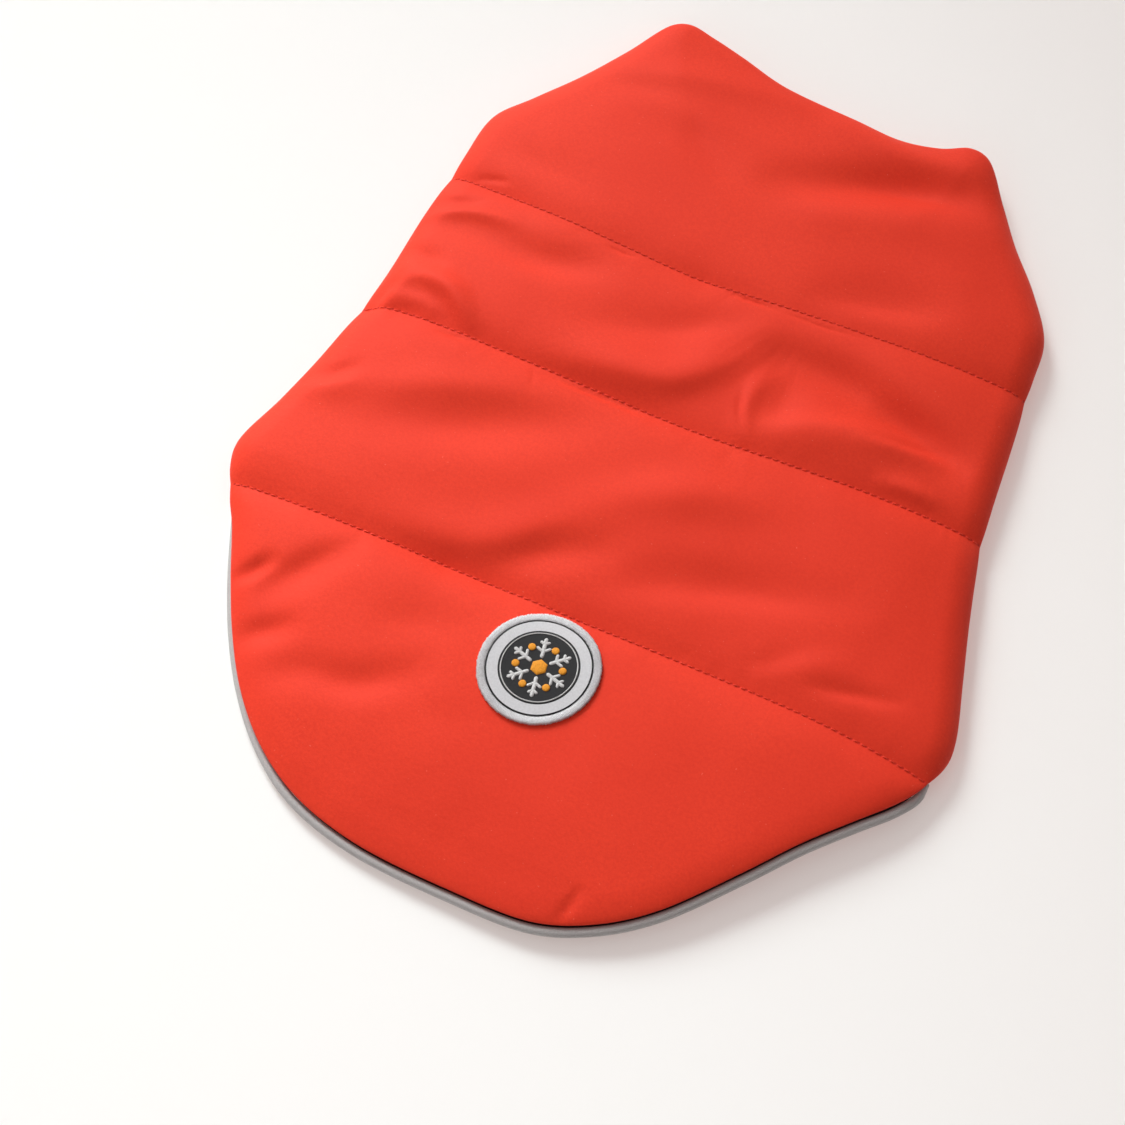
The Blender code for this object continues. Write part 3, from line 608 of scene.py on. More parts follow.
class Mesh:
    """Collects points and faces, each with the number of its material."""

    def __init__(self):
        self.points = []
        self.faces = []
        self.looks = []
        self.count = 0

    def add(self, points):
        """Adds points, and returns their numbers."""
        points = np.reshape(points, (-1, 3))
        start = self.count
        self.points.append(points)
        self.count += len(points)
        return np.arange(start, self.count)

    def cap(self, corners, look=0):
        """Adds one face with these corners."""
        self.faces.append(tuple(map(int, corners)))
        self.looks.append(look)

    def add_faces(self, corners, look=0):
        for face in zip(*corners):
            self.cap(face, look)

    def add_grid(self, grid, upward, look=0):
        """Adds a grid of faces, and returns the numbers of its border points, anticlockwise."""
        numbers = self.add(grid).reshape(grid.shape[:2])
        corners = [numbers[:-1, :-1], numbers[:-1, 1:], numbers[1:, 1:], numbers[1:, :-1]]
        self.add_faces([part.flat for part in (corners if upward else corners[::-1])], look)
        return loop_of(numbers)

    def join(self, upper, lower, look=0):
        """A strip of faces between two loops that run anticlockwise, facing out from upper down to lower."""
        self.add_faces((upper, lower, np.roll(lower, -1), np.roll(upper, -1)), look)

    def join_all(self, loops, look=0):
        """Strips between loops that follow each other inwards and up."""
        for outer, inner in zip(loops, loops[1:]):
            self.join(inner, outer, look)

    def join_coarser(self, upper, lower, ratio, look=0):
        """As join, where the lower loop has ratio times fewer points."""
        half = ratio // 2
        for k, a in enumerate(lower):
            b = lower[(k + 1) % len(lower)]
            tops = [upper[(k * ratio + step) % len(upper)] for step in range(ratio + 1)]
            for step in range(ratio):
                self.cap((tops[step], a if step < half else b, tops[step + 1]), look)
            self.cap((tops[half], a, b), look)

    def to_object(self, name, materials):
        points = np.vstack(self.points)
        points[:, :2] -= MIDDLE
        mesh = bpy.data.meshes.new(name)
        mesh.from_pydata((points * MM).tolist(), [], self.faces)
        mesh.validate()
        mesh.shade_smooth()
        for look in materials:
            mesh.materials.append(look)
        mesh.polygons.foreach_set("material_index", np.array(self.looks, np.int32))
        obj = bpy.data.objects.new(name, mesh)
        bpy.context.scene.collection.objects.link(obj)
        return obj


def height_on(obj):
    """A function that gives the height of an object's upper face at points of the coat's axes."""
    tree = BVHTree.FromPolygons(
        [vertex.co for vertex in obj.data.vertices], [face.vertices for face in obj.data.polygons]
    )

    def heights(points):
        found = []
        for x, y in (points - MIDDLE) * MM:
            hit = tree.ray_cast(Vector((x, y, HIGH_ABOVE)), Vector((0, 0, -1)))[0]
            found.append(hit.z / MM if hit else np.nan)
        return np.array(found)

    return heights


# ---------------------------------------------------------------- materials


class Look:
    """A material with helpers to add nodes to it."""

    def __init__(self, name, colour, roughness):
        self.material = bpy.data.materials.new(name)
        self.material.use_nodes = True
        self.tree = self.material.node_tree
        self.shader = self.tree.nodes["Principled BSDF"]
        self.set({"Base Color": (*colour, 1), "Roughness": roughness})
        self.place = self.node("ShaderNodeTexCoord").outputs["Object"]

    def set(self, values):
        for name, value in values.items():
            self.shader.inputs[name].default_value = value

    def node(self, kind, inputs=(), **settings):
        made = self.tree.nodes.new(kind)
        for name, value in settings.items():
            setattr(made, name, value)
        for name, value in dict(inputs).items():
            socket = made.inputs[name]
            if isinstance(value, bpy.types.NodeSocket):
                self.tree.links.new(value, socket)
            else:
                socket.default_value = value
        return made

    def noise(self, size, detail=2.0, roughness=0.5, stretch=(1, 1, 1)):
        """Noise with features of about this size in mm."""
        mapping = self.node("ShaderNodeMapping", {"Vector": self.place, "Scale": stretch})
        inputs = {"Vector": mapping.outputs[0], "Scale": 1 / (size * MM), "Detail": detail}
        inputs["Roughness"] = roughness
        return self.node("ShaderNodeTexNoise", inputs).outputs["Fac"]

    def ramp(self, value, low, high, to_low=0.0, to_high=1.0):
        inputs = {0: value, 1: low, 2: high, 3: to_low, 4: to_high}
        return self.node("ShaderNodeMapRange", inputs, interpolation_type="SMOOTHSTEP").outputs[0]

    def maths(self, operation, a, b=0.0, c=0.0):
        return self.node("ShaderNodeMath", {0: a, 1: b, 2: c}, operation=operation).outputs[0]

    def mix(self, share, a, b):
        ends = [end if isinstance(end, bpy.types.NodeSocket) else (*end, 1) for end in (a, b)]
        inputs = {0: share, 6: ends[0], 7: ends[1]}
        return self.node("ShaderNodeMix", inputs, data_type="RGBA").outputs[2]

    def mottle(self, colour, shade, size, detail=2, low=0.3):
        """Colours the material in patches of about this size in mm, darkened by up to this share."""
        dark = tuple(part * (1 - shade) for part in colour)
        patches = self.ramp(self.noise(size, detail, 0.6), low, 0.7)
        self.colour(self.mix(patches, colour, dark))

    def colour(self, socket):
        self.tree.links.new(socket, self.shader.inputs["Base Color"])

    def bump(self, height, distance, strength=1.0):
        """Adds relief of this many mm to what is there already."""
        inputs = {"Height": height, "Distance": distance * MM, "Strength": strength}
        normal = self.shader.inputs["Normal"]
        if normal.is_linked:
            inputs["Normal"] = normal.links[0].from_socket
        self.tree.links.new(self.node("ShaderNodeBump", inputs).outputs[0], normal)

    def relief(self, size, depth, detail=1, roughness=0.5, stretch=(1, 1, 1)):
        """Adds noise of about this size and this depth, both in mm."""
        self.bump(self.noise(size, detail, roughness, stretch), depth)

    def attribute(self, name):
        return self.node("ShaderNodeAttribute", attribute_name=name).outputs["Fac"]


CLOTH_LAYERS = (
    # size in mm, detail, roughness, where the noise begins and ends to count, share, colour
    (38, 2, 0.5, 0.3, 0.7, 0.35, DEEP_RED),  # soft blotches
    (0.9, 4, 0.7, 0.3, 0.7, 0.7, DEEP_RED),  # grain
    (0.75, 0, 0, 0.82, 0.9, 0.22, SPECK_PINK),  # a few pale specks
)
CLOTH_SHEEN = {"Sheen Weight": 0.06, "Sheen Roughness": 0.45, "Sheen Tint": (1.0, 0.45, 0.38, 1)}
HOLE_RADII = (0.15, 0.62)  # where a needle hole's dip and its painted shade begin to fade, and where they end
# how strongly the painted shade darkens the middle of a needle hole
HOLE_PAINTED_SHADE = 0.9
HOLE_DEPTH = 0.1
WEAVE_STRETCHES = ((1, 0.25, 1), (0.25, 1, 1))  # the two ways that the threads of a weave run
PATCHES_PER_THREAD = 1.4  # how much larger a weave's patches of colour are than its threads
TABLE_SHADE = 0.985  # the least pale patches of the table, and their size in mm
TABLE_PATCHES = 300


def softshell():
    """The red cloth: a brushed face with a fine grain, a few pale specks, and needle holes on its seams, each
    a small dip darkened with painted shade.
    """
    look = Look("red_softshell", RED, 0.68)
    cloth = RED
    for size, detail, roughness, low, high, share, colour in CLOTH_LAYERS:
        fine = look.noise(size, detail, roughness)
        cloth = look.mix(look.ramp(fine, low, high, to_high=share), cloth, colour)
    along = look.attribute("seam_along")
    across = look.attribute("seam_across")
    step = look.maths("SUBTRACT", look.maths("FRACT", along), 0.5)
    step = look.maths("MULTIPLY", step, STITCH_PITCH)
    squares = [look.maths("MULTIPLY", side, side) for side in (step, across)]
    apart = look.maths("SQRT", look.maths("ADD", *squares))
    # the needle holes: a small dip in the relief, and painted shade in the colour
    hole = look.ramp(apart, *HOLE_RADII, to_low=1.0, to_high=0.0)
    look.colour(look.mix(look.maths("MULTIPLY", hole, HOLE_PAINTED_SHADE), cloth, HOLE_PAINTED_SHADE_RED))
    look.relief(size=0.6, depth=0.06, detail=3, roughness=0.7)
    look.relief(size=1.8, depth=0.09, detail=2)
    look.bump(look.maths("MULTIPLY", hole, -1), HOLE_DEPTH)
    look.set({"Specular IOR Level": 0.22, **CLOTH_SHEEN})
    return look.material


def woven(name, colour, roughness, size, depth, shade=0.25):
    """A plain fine weave: two sets of threads, a little uneven in colour."""
    look = Look(name, colour, roughness)
    look.mottle(colour, shade, size * PATCHES_PER_THREAD, low=0.35)
    for stretch in WEAVE_STRETCHES:
        look.relief(size, depth, stretch=stretch)
    return look.material


def thread(name, colour, size=0.3):
    """Sewing thread: smooth twisted strands with a soft sheen."""
    look = Look(name, colour, 0.55)
    look.mottle(colour, shade=0.3, size=size)
    look.relief(size, depth=0.05)
    look.set({"Specular IOR Level": 0.15, "Sheen Weight": 0.08})
    return look.material


def piping_cloth():
    """The piping: a smooth close weave with a faint silver sheen."""
    look = Look("grey_piping", PIPING_GREY, 0.5)
    look.mottle(PIPING_GREY, shade=0.14, size=0.5, detail=3)
    look.relief(size=0.45, depth=0.03, detail=2, roughness=0.6)
    look.relief(size=6, depth=0.12)
    look.set({"Specular IOR Level": 0.5, "Sheen Weight": 0.15})
    return look.material


def table_top():
    """The table: plain and matt, a little uneven over large patches, and glowing with painted warm light that
    lightens and reddens the shadows on it.
    """
    look = Look("pale_table", TABLE_WHITE, 0.9)
    shaded = tuple(part * TABLE_SHADE for part in TABLE_WHITE)
    look.colour(look.mix(look.noise(TABLE_PATCHES, 1), TABLE_WHITE, shaded))
    # painted glow: the table emits a warm light of its own, which lightens the shadows cast on it and tints
    # them red
    look.set({"Specular IOR Level": 0.0, "Emission Color": (*TABLE_PAINTED_GLOW, 1), "Emission Strength": 1.0})
    return look.material


# ---------------------------------------------------------------- the back


def seam_places(points):
    """For each point its place along the nearest quilting line, in stitches, and its distance from it."""
    best = np.full(len(points), np.inf)
    along = np.zeros(len(points))
    for line in SEAMS:
        away = from_seam(points, line)
        closer = np.abs(away) < np.abs(best)
        best[closer] = away[closer]
        along[closer] = np.interp(points[closer, 0], line[:, 0], lengths_along(line)) / STITCH_PITCH
    return along, best


def mark_seams(obj):
    """Stores each point's place beside the quilting lines, for the needle holes' dips and their painted
    shade.
    """
    co = np.zeros(len(obj.data.vertices) * 3)
    obj.data.vertices.foreach_get("co", co)
    points = co.reshape(-1, 3)[:, :2] / MM + MIDDLE
    along, across = seam_places(points)
    for name, values in (("seam_along", along), ("seam_across", across)):
        made = obj.data.attributes.new(name, "FLOAT", "POINT")
        made.data.foreach_set("value", values.astype(np.float32))


def make_back(red, lining):
    """The quilted back with its rolled edges. Its inside is lined."""
    mesh = Mesh()
    border = mesh.add_grid(outer_grid(FINE), upward=True)
    for ring in outer_rings(FINE):
        lower = mesh.add(ring)
        mesh.join(border, lower)
        border = lower
    turned = FINE.round[:, UNDER] * np.maximum(0, 1 - TURNED_UNDER / FINE.round[:, REACH]) ** 2
    lower = mesh.add(np.column_stack((FINE.ring_at(TURNED_UNDER), turned)))
    mesh.join(border, lower)
    inside = mesh.add_grid(inner_grid(INNER), upward=False, look=1)
    mesh.join_coarser(lower, inside, COARSER, look=1)
    back = mesh.to_object("back_cloth", [red, lining])
    mark_seams(back)
    return back


STITCH_RADIUS = 0.27
STITCH_SHARE = 0.74  # how much of the pitch shows between two needle holes
STITCH_SIDES = 6
STITCH_RINGS = 6
STITCH_MARGIN = 1.6  # how far from the fold the rows of stitches still show
STITCH_SEED = 3
STITCH_LENGTHS = (0.92, 1.05)  # how unequal they are
STITCH_LEAN = 0.09  # how far a stitch may turn off its line at each end
STITCH_LIFT = 0.16  # height of its middle over the cloth
STITCH_DIVE = 0.42  # how far its ends go down from there
STITCH_TAPER = 0.75  # how much of its section is gone at its ends


def make_stitches(surface, material):
    """The three rows of quilting stitches: short threads that dive into the cloth at both ends."""
    mesh = Mesh()
    draw = np.random.default_rng(STITCH_SEED)
    turns = evenly(STITCH_SIDES)
    share = np.linspace(-1, 1, STITCH_RINGS)
    dive = STITCH_DIVE * np.abs(share) ** 3
    radii = STITCH_RADIUS * np.sqrt(1 - STITCH_TAPER * share**4)
    for line in SEAMS:
        length = lengths_along(line)
        for k in range(int(length[-1] / STITCH_PITCH)):
            half = STITCH_SHARE * STITCH_PITCH / 2 * draw.uniform(*STITCH_LENGTHS)
            lean = draw.uniform(-STITCH_LEAN, STITCH_LEAN)
            places = (k + 1.0) * STITCH_PITCH + half * share
            x = np.interp(places, length, line[:, 0])
            y = np.interp(places, length, line[:, 1]) + lean * share
            flat = np.column_stack((x, y))
            if from_edge(flat)[0].min() < STITCH_MARGIN:
                continue
            height = surface(flat)
            if np.isnan(height).any():
                continue
            rings = []
            for px, py, pz, radius in zip(x, y, height + STITCH_LIFT - dive, radii):
                sides = py + radius * np.cos(turns), pz + radius * np.sin(turns)
                rings.append(mesh.add(np.column_stack((np.full(STITCH_SIDES, px), *sides))))
            for near, far in zip(rings, rings[1:]):
                mesh.add_faces((near, np.roll(near, -1), np.roll(far, -1), far))
            mesh.cap(rings[0][::-1])
            mesh.cap(rings[-1])
    return mesh.to_object("quilting_stitches", [material])


# ---------------------------------------------------------------- the wings folded under the back

# The two wings' edges at the neck, from the top down: how far each stands out, its middle and its half
# thickness.
NECK_LAYERS = (
    (11.0, 4.75, 1.2),
    (11.5, 1.75, 1.6),
)
LAYER_ANGLES = (70, 45, 20, 0, -20, -45, -70)
SHELF_OUT = 2.0  # where the lining comes out from under the back
SHELF_HEIGHT = 6.0
SHELF_FALL = 0.05  # from there to the layers
SHELF_SHORT = 2.5  # how far it stops short of the upper layer's edge
FOLD_OUTS = ((0, 0.5, 1), (0.1, 0.4, 0.5))  # elsewhere: shares of the way down, and how far out
WING_EDGE = ((30, -25), (22, 30), (16, 90), (10, 150), (4, 210))  # the lower wing's edge, underneath
WING_STEP = 1.1  # thickness of the squashed lower wing beside its edge
WING_STEP_FROM = 1.5  # how far from that edge the step is half done
WING_STEP_WIDTH = 0.7
NECK_MARGIN = 6  # columns at each end of the neck where the layers stay back, under the folds
LAYERS_SHRINK = 0.992
UNDER_GROOVE = 1.0
UNDER_GROOVE_REACH = 3.0


def under_height(points):
    """The wings' outer faces, which lie on the table: one wing laps over the other, quilted like the back."""
    edge = smooth(WING_EDGE)
    beyond = points[:, 0] - np.interp(points[:, 1], edge[:, 1], edge[:, 0])
    height = WING_STEP / (1 + np.exp(-(beyond - WING_STEP_FROM) / WING_STEP_WIDTH))
    for line in SEAMS:
        away = np.abs(from_seam(points, line))
        height += UNDER_GROOVE * np.exp(-((away / UNDER_GROOVE_REACH) ** 2))
    return height


def make_wings(red, lining):
    """The two wings as one solid under the back, whose edges show at the neck as two layers."""
    mesh = Mesh()
    grid = MEDIUM
    top = inner_grid(grid)[grid.hollow_row :]
    middle = top[..., :2].mean(axis=(0, 1))
    top[..., :2] = middle + (top[..., :2] - middle) * LAYERS_SHRINK
    top[..., 2] -= SEAM_GAP
    border = mesh.add_grid(top, upward=True, look=1)
    loop = loop_of(top)
    out = to_the_right(np.roll(loop, -1, axis=0)[:, :2] - np.roll(loop, 1, axis=0)[:, :2])
    first = grid.columns + len(top) - 1
    at_neck = np.zeros(len(loop))
    at_neck[first + NECK_MARGIN : first + grid.columns - NECK_MARGIN + 1] = 1
    profile = [(SHELF_OUT, SHELF_HEIGHT, 1)]
    profile.append((NECK_LAYERS[0][0] - SHELF_SHORT, SHELF_HEIGHT - SHELF_FALL, 1))
    for stands, centre, half in NECK_LAYERS:
        for angle in LAYER_ANGLES:
            turn = np.radians(angle)
            profile.append((stands - half * (1 - np.cos(turn)), centre + half * np.sin(turn), int(angle > 0)))
    for k, (neck_out, neck_level, look) in enumerate(profile):
        share = k / (len(profile) - 1)
        fold_out = np.interp(share, *FOLD_OUTS)
        far = fold_out + (neck_out - fold_out) * at_neck
        level = loop[:, 2] * (1 - share) * (1 - at_neck) + neck_level * at_neck
        lower = mesh.add(np.column_stack((loop[:, :2] + out * far[:, None], level)))
        mesh.join(border, lower, look=look)
        border = lower
    low = top.copy()
    points = low[..., :2].reshape(-1, 2)
    low[..., 2] = under_height(points).reshape(low.shape[:2])
    inside = mesh.add_grid(low, upward=False)
    mesh.join(border, inside)
    return mesh.to_object("wing_cloth", [red, lining])


# ---------------------------------------------------------------- trim

PIPING_SECTIONS = 420
PIPING_SIDES = 20
TAPE_ROUND = 0.25  # radius of the tape's corners
TRIM_CHORD = 5.0  # as EDGE_CHORD, for the trim's own line


def trim_path(sections):
    """The trim's line: points on the edge, directions out of it, and the piping's out and height."""
    places = np.linspace(0, EDGE.nearest(HEM[-1]), sections + 1)
    rows = EDGE.at(places)
    return rows[:, :2], EDGE.outward(places, TRIM_CHORD), rows[:, OUT], rows[:, LEVEL]


def sweep(mesh, middle, outward, section):
    """A closed tube: the section's rows of (out, up) round each point of the line."""
    loops = []
    for offset, up in section:
        flat = middle[:, :2] + outward * np.reshape(offset, (-1, 1))
        loops.append(np.column_stack((flat, middle[:, 2] + up)))
    numbers = mesh.add(np.stack(loops, axis=1)).reshape(len(middle), len(section))
    for near, far in zip(numbers, numbers[1:]):
        mesh.add_faces((near, far, np.roll(far, -1), np.roll(near, -1)))
    mesh.cap(numbers[0])
    mesh.cap(numbers[-1][::-1])


def make_piping(material):
    """The round piping along the tail hem, its two ends slipped under the folds."""
    edge, outward, out, height = trim_path(PIPING_SECTIONS)
    middle = np.column_stack((edge + outward * out[:, None], height))
    turns = evenly(PIPING_SIDES) + np.pi / PIPING_SIDES
    section = [(PIPING_RADIUS * np.cos(turn), PIPING_RADIUS * np.sin(turn)) for turn in turns]
    mesh = Mesh()
    sweep(mesh, middle, outward, section)
    return mesh.to_object("piping", [material])


def make_tape(material):
    """The dark tape that the piping is made on, which shows as a thin line beside the red cloth."""
    edge, outward, out, height = trim_path(PIPING_SECTIONS)
    outer = out - PIPING_RADIUS - SEAM_GAP / 2
    middle = np.column_stack((edge + outward * outer[:, None], height - TAPE_DROP))
    low, high = TAPE_ROUND, TAPE_THICKNESS - TAPE_ROUND
    side = ((0, low), (0, high), (-TAPE_ROUND, TAPE_THICKNESS))
    far_side = ((TAPE_ROUND, TAPE_THICKNESS), (0, high), (0, low), (TAPE_ROUND, 0))
    section = ((-TAPE_ROUND, 0), *side, *((x - TAPE_WIDTH, up) for x, up in far_side))
    mesh = Mesh()
    sweep(mesh, middle[1:-1], outward[1:-1], section)
    return mesh.to_object("piping_tape_cloth", [material])


# ---------------------------------------------------------------- patch

PATCH_TURNS = 160
BAND_RINGS = 7
MIDDLE_RINGS = 14
BORDER_THREADS = 250
THREAD_POINTS = 4  # points round the border for each thread
THREAD_RELIEF = 0.13
THREAD_SLANT = 0.45  # how far a thread runs sideways across the border, in mm
THREAD_THICKNESSES = (0.75, 1.2)  # how unequal the threads are
THREAD_WANDER = 0.12
BORDER_SEED = 5
BORDER_CLEAR = 0.1  # how far the border's underside is kept off the cloth
FIELD_UNDER = 0.2  # how far the field runs in under the border
FIELD_PIT = 0.5  # radius of the last face in the field's middle
PATCH_STIFFNESS = 2.0  # the patch spans the cloth's forms that are smaller than this
PATCH_SPAN = 24.0  # how far from the patch's middle the cloth under it is read at most
BORDER_ANGLES = (0, 22, 45, 68, 90, 112, 135, 158, 180)
BORDER_FLATNESS = 0.3  # how square the border's back is: 1 is round
DARK_LINE = 16.75  # where the dark line inside the border begins
BAND_INNER = 13.2  # radius of the black middle inside the pale band
INNER_LINE = (12.1, 12.55)  # the pale ring sewn inside the black middle
ARMS = 6
ARM_GAP = 0.4  # between an arm and the orange middle
ARM_LENGTH = 10.8
ARM_WIDTH = 1.35
BRANCHES = ((5.6, 2.9), (8.3, 2.0))  # where each pair of branches leaves an arm, and its length
BRANCH_TURN = 58
CENTRE_RADIUS = 2.9
SPOT_PLACE = 7.7
SPOT_RADIUS = 1.3
SEWN_RELIEF = 0.4
SEWN_SINK = 0.08  # how far the edge of sewn work goes down into the field
BAR_STEP = 0.35
BAR_STEPS = 6  # at least
BAR_ROWS = (-1, -0.75, -0.35, 0, 0.35, 0.75, 1)
BAR_END = 0.12  # share of its half width that a bar keeps at its very end
BRANCH_WIDTH = 0.8  # as a share of an arm's
DISC_TURNS = 48
DISC_RINGS = ((1, -SEWN_SINK), (0.92, 0.28), (0.7, 0.42), (0.35, 0.46))  # share of the radius, rise
RING_TURNS = 200
RING_RISE = 0.22
RING_ROUND = 0.1
EMBLEM_TURN = 3.0  # degrees from the patch's length to an arm


def heading(turn):
    return np.array((np.cos(turn), np.sin(turn)))


def on_patch(x, y):
    """Points of the round patch, laid on the coat's axes, where the cloth draws it a little oval."""
    lengthways = heading(np.radians(PATCH_HEADING))
    across = np.array((-lengthways[1], lengthways[0])) * PATCH_OVAL
    return np.multiply.outer(x, lengthways) + np.multiply.outer(y, across) + PATCH_CENTRE


def on_circle(radius, turns):
    return on_patch(radius * np.cos(turns), radius * np.sin(turns))


def patch_surface(surface, flat):
    """The underside of the patch: stiffer than the cloth, so it follows only the cloth's larger forms."""
    centre = np.array(PATCH_CENTRE)
    spread = PATCH_STIFFNESS * np.array(((0, 0), (1, 0), (-1, 0), (0, 1), (0, -1)))
    heights = [surface(np.clip(flat + step, centre - PATCH_SPAN, centre + PATCH_SPAN)) for step in spread]
    return np.mean(heights, axis=0) + PATCH_LIFT


def on_field(surface, flat, rise):
    """Points at this height over the patch's upper face."""
    return np.column_stack((flat, patch_surface(surface, flat) + PATCH_THICKNESS + rise))


def make_patch(surface, black, pale):
    """The patch's field: a thin disc that follows the cloth, black with a pale band."""
    edge = PATCH_RADIUS - PATCH_BORDER + FIELD_UNDER
    mesh = Mesh()
    band = np.linspace(DARK_LINE, BAND_INNER, BAND_RINGS)
    middle = np.linspace(BAND_INNER, FIELD_PIT, MIDDLE_RINGS)[1:]
    radii = np.concatenate(([edge, edge], band, middle))
    previous = None
    for number, radius in enumerate(radii):
        rise = 0.0 if number else -PATCH_THICKNESS
        loop = mesh.add(on_field(surface, on_circle(radius, evenly(PATCH_TURNS)), rise))
        if number:
            mesh.join(loop, previous, look=int(BAND_INNER <= radius < DARK_LINE))
        previous = loop
    mesh.cap(previous)
    return mesh.to_object("patch_field", [black, pale])


def make_border(surface, material):
    """The overlocked border: threads wound side by side round the patch's edge."""
    mesh = Mesh()
    count = BORDER_THREADS * THREAD_POINTS
    turns = evenly(count)
    middle = PATCH_RADIUS - PATCH_BORDER / 2
    base = patch_surface(surface, on_circle(middle, turns)) - PATCH_LIFT + BORDER_CLEAR
    draw = np.random.default_rng(BORDER_SEED)
    uneven = np.repeat(draw.uniform(*THREAD_THICKNESSES, BORDER_THREADS), THREAD_POINTS)
    wander = np.repeat(draw.uniform(-THREAD_WANDER, THREAD_WANDER, BORDER_THREADS), THREAD_POINTS)
    relief = THREAD_RELIEF * uneven * np.cos(2 * np.pi * np.arange(count) / THREAD_POINTS)
    loops = []
    for angle in np.radians(BORDER_ANGLES):
        slant = THREAD_SLANT * np.cos(angle) / middle
        radius = middle + (PATCH_BORDER / 2 + relief) * np.cos(angle) + wander * np.cos(angle)
        full = BORDER_THICKNESS + PATCH_LIFT - BORDER_CLEAR + relief
        rise = full * np.sin(angle) ** BORDER_FLATNESS
        loops.append(mesh.add(np.column_stack((on_circle(radius, turns + slant), base + rise))))
    mesh.join_all(loops + loops[:1])
    return mesh.to_object("patch_overlock", [material])


def sewn_bar(mesh, surface, start, end, width, look):
    """A satin-stitched bar with a rounded back and round ends, in the patch's own axes."""
    start, end = np.array(start, float), np.array(end, float)
    length = np.linalg.norm(end - start)
    ahead = (end - start) / length
    side = np.array((-ahead[1], ahead[0]))
    rows = []
    for share in np.linspace(0, 1, max(BAR_STEPS, int(length / BAR_STEP)) + 1):
        place = start + (end - start) * share
        near_end = min(share, 1 - share) * length
        half = width / 2
        if near_end < width / 2:
            half *= min(1, (near_end / (width / 2)) ** 0.5 + BAR_END)
        for across in BAR_ROWS:
            rise = SEWN_RELIEF * (half * 2 / width) * np.sqrt(1 - across**2) - SEWN_SINK
            rows.append((*on_patch(*(place + side * half * across)), rise))
    rows = np.array(rows)
    grid = on_field(surface, rows[:, :2], rows[:, 2]).reshape(-1, len(BAR_ROWS), 3)
    mesh.add_grid(grid, upward=False, look=look)


def sewn_disc(mesh, surface, centre, radius, corners, look):
    """A satin-stitched disc or polygon with a low crown."""
    turns = evenly(DISC_TURNS)
    edge = np.full(DISC_TURNS, radius)
    if corners:
        step = 2 * np.pi / corners
        edge = radius * np.cos(step / 2) / np.cos(np.mod(turns, step) - step / 2)
    loops = []
    for share, rise in DISC_RINGS:
        flat = on_patch(centre[0] + edge * share * np.cos(turns), centre[1] + edge * share * np.sin(turns))
        loops.append(mesh.add(on_field(surface, flat, rise)))
    mesh.join_all(loops, look)
    mesh.cap(loops[-1], look)


def make_emblem(surface, pale, orange):
    """A plain six-armed snow crystal with an orange middle and six spots, inside a thin pale ring."""
    mesh = Mesh()
    for k in range(ARMS):
        turn = np.radians(360 / ARMS * k + EMBLEM_TURN)
        out = heading(turn)
        sewn_bar(mesh, surface, out * (CENTRE_RADIUS + ARM_GAP), out * ARM_LENGTH, ARM_WIDTH, 0)
        for place, length in BRANCHES:
            for sign in (-1, 1):
                tip = out * place + length * heading(turn + sign * np.radians(BRANCH_TURN))
                sewn_bar(mesh, surface, out * place, tip, ARM_WIDTH * BRANCH_WIDTH, 0)
        spot = SPOT_PLACE * heading(turn + np.pi / ARMS)
        sewn_disc(mesh, surface, spot, SPOT_RADIUS, corners=0, look=1)
    sewn_disc(mesh, surface, (0, 0), CENTRE_RADIUS, corners=ARMS, look=1)
    inner, outer = INNER_LINE
    top = ((outer - RING_ROUND, RING_RISE), (inner + RING_ROUND, RING_RISE))
    loops = []
    for radius, rise in ((outer, -SEWN_SINK), *top, (inner, -SEWN_SINK)):
        loops.append(mesh.add(on_field(surface, on_circle(radius, evenly(RING_TURNS)), rise)))
    mesh.join_all(loops)
    return mesh.to_object("patch_emblem", [pale, orange])


# ---------------------------------------------------------------- stage

CAMERA_PLACE = (0.1295, -0.3556, 0.817)
CAMERA_TARGET = (-0.0129, -0.0416, 0.0)
CAMERA_LENS = 86.5
CAMERA_SENSOR = 36
CAMERA_NEAR = 0.01
KEY_PLACE = (-0.97, 0.67, 0.86)
KEY_TARGET = (-0.11, -0.20, 0.0)
KEY_SIZE = 0.85
KEY_SPREAD = 42.0  # degrees, so that its light falls off towards the right and the neck
KEY_POWER = 2.46
FILL_PLACE = (-0.5, -1.7, 1.0)
FILL_SIZE = 1.2
FILL_POWER = 5.2
SKY = (1.0, 0.89, 0.875)
SKY_STRENGTH = 0.32  # the room's light from all round
SKY_SIDE = 0.47  # how much brighter it is towards SKY_TOWARDS
SKY_DIMMEST = 0.14  # its least strength, on the far side
SKY_TOWARDS = (-0.70, 0.58, 0.41)
KEY_COLOUR = (0.95, 1.0, 0.99)
FILL_COLOUR = (1.0, 1.0, 0.99)
TABLE_SIZE = 24  # metres
TABLE_SINK = 0.0001  # so that the coat's underside isn't in the table's own plane


def aim(obj, target):
    obj.rotation_euler = (Vector(target) - obj.location).to_track_quat("-Z", "Y").to_euler()


def make_camera():
    camera = bpy.data.objects.new("camera", bpy.data.cameras.new("camera"))
    camera.data.lens = CAMERA_LENS
    camera.data.sensor_width = CAMERA_SENSOR
    camera.data.clip_start = CAMERA_NEAR
    camera.location = CAMERA_PLACE
    aim(camera, CAMERA_TARGET)
    bpy.context.scene.collection.objects.link(camera)
    bpy.context.scene.camera = camera


def make_light(name, place, target, size, spread, power, colour):
    data = bpy.data.lights.new(name, "AREA")
    data.shape = "DISK"
    data.size = size
    data.energy = power
    data.spread = np.radians(spread)
    data.color = colour
    light = bpy.data.objects.new(name, data)
    light.location = place
    aim(light, target)
    bpy.context.scene.collection.objects.link(light)


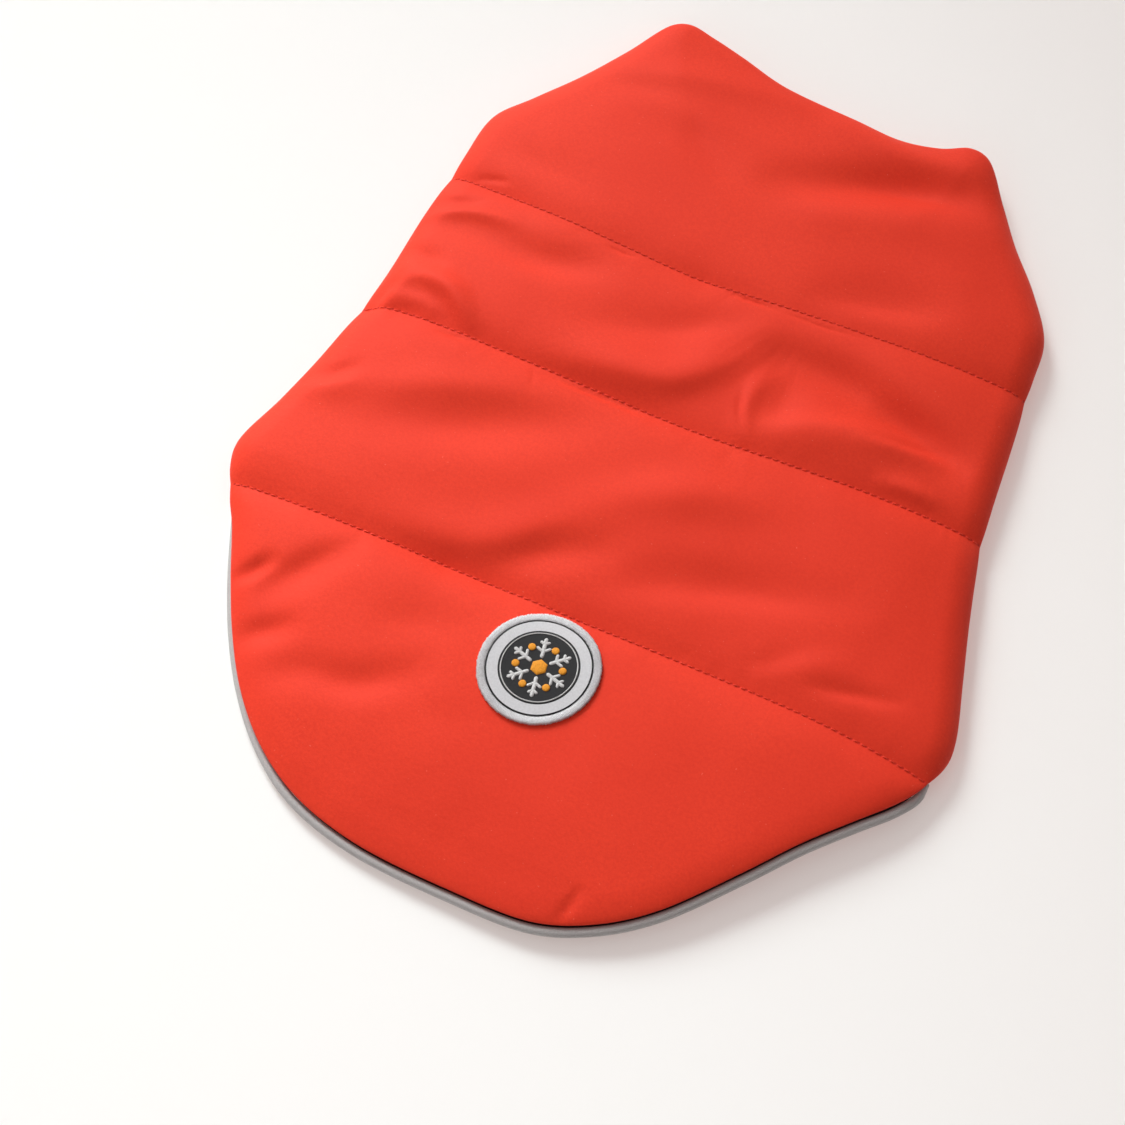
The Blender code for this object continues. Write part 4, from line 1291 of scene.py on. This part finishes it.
def make_sky():
    """The room's light: brighter on one side, and nowhere dark."""
    world = bpy.data.worlds.new("studio")
    world.use_nodes = True
    tree = world.node_tree
    tree.nodes["Background"].inputs[0].default_value = (*SKY, 1)
    value = tree.nodes.new("ShaderNodeTexCoord").outputs["Generated"]
    for kind, operation, clamp, *settings in (
        ("VectorMath", "DOT_PRODUCT", False, SKY_TOWARDS),
        ("Math", "MULTIPLY_ADD", True, SKY_SIDE, SKY_STRENGTH),
        ("Math", "MAXIMUM", False, SKY_DIMMEST),
    ):
        node = tree.nodes.new("ShaderNode" + kind)
        node.operation = operation
        if clamp:
            node.use_clamp = True
        tree.links.new(value, node.inputs[0])
        for place, setting in enumerate(settings, 1):
            node.inputs[place].default_value = setting
        value = node.outputs["Value"]
    tree.links.new(value, tree.nodes["Background"].inputs[1])
    bpy.context.scene.world = world


def make_stage():
    """The table, the sky and the two lamps."""
    bpy.ops.mesh.primitive_plane_add(size=TABLE_SIZE, location=(0, 0, -TABLE_SINK))
    table = bpy.context.object
    table.name = "table"
    table.data.materials.append(table_top())
    make_sky()
    bpy.context.scene.view_settings.view_transform = "Standard"
    make_light("key", KEY_PLACE, KEY_TARGET, KEY_SIZE, KEY_SPREAD, KEY_POWER, KEY_COLOUR)
    make_light("fill", FILL_PLACE, (0, 0, 0), FILL_SIZE, 180, FILL_POWER, FILL_COLOUR)


# ---------------------------------------------------------------- the coat


def main():
    make_camera()
    make_stage()
    red = softshell()
    lining = woven("dark_red_lining", LINING, roughness=0.7, size=0.4, depth=0.04)
    back = make_back(red, lining)
    wings = make_wings(red, lining)
    surface = height_on(back)
    stitches = make_stitches(surface, thread("red_thread", THREAD_RED))
    piping = make_piping(piping_cloth())
    tape = make_tape(woven("black_tape", TAPE_BLACK, roughness=0.9, size=0.5, depth=0.06))
    black = woven("patch_twill", FIELD_BLACK, roughness=0.8, size=0.35, depth=0.05)
    pale = woven("patch_pale_twill", FIELD_PALE, roughness=0.75, size=0.35, depth=0.04, shade=0.1)
    patch = make_patch(surface, black, pale)
    border = make_border(surface, thread("grey_overlock", THREAD_GREY))
    emblem = make_emblem(surface, thread("pale_thread", THREAD_WHITE), thread("orange_thread", THREAD_ORANGE))

    for piece, slot, nodes in (
        (back, "red_softshell", ["back_panel"]),
        (wings, "folded_softshell", ["folded_layers"]),
        (stitches, "red_softshell", []),
        (piping, "grey_piping", ["hem_piping"]),
        (tape, "black_tape", ["piping_tape"]),
        (patch, "patch_field", ["patch"]),
        (border, "patch_border", ["patch_border"]),
        (emblem, "patch_border", []),
    ):
        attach(piece, "root")
        if nodes:
            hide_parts(*nodes)


main()
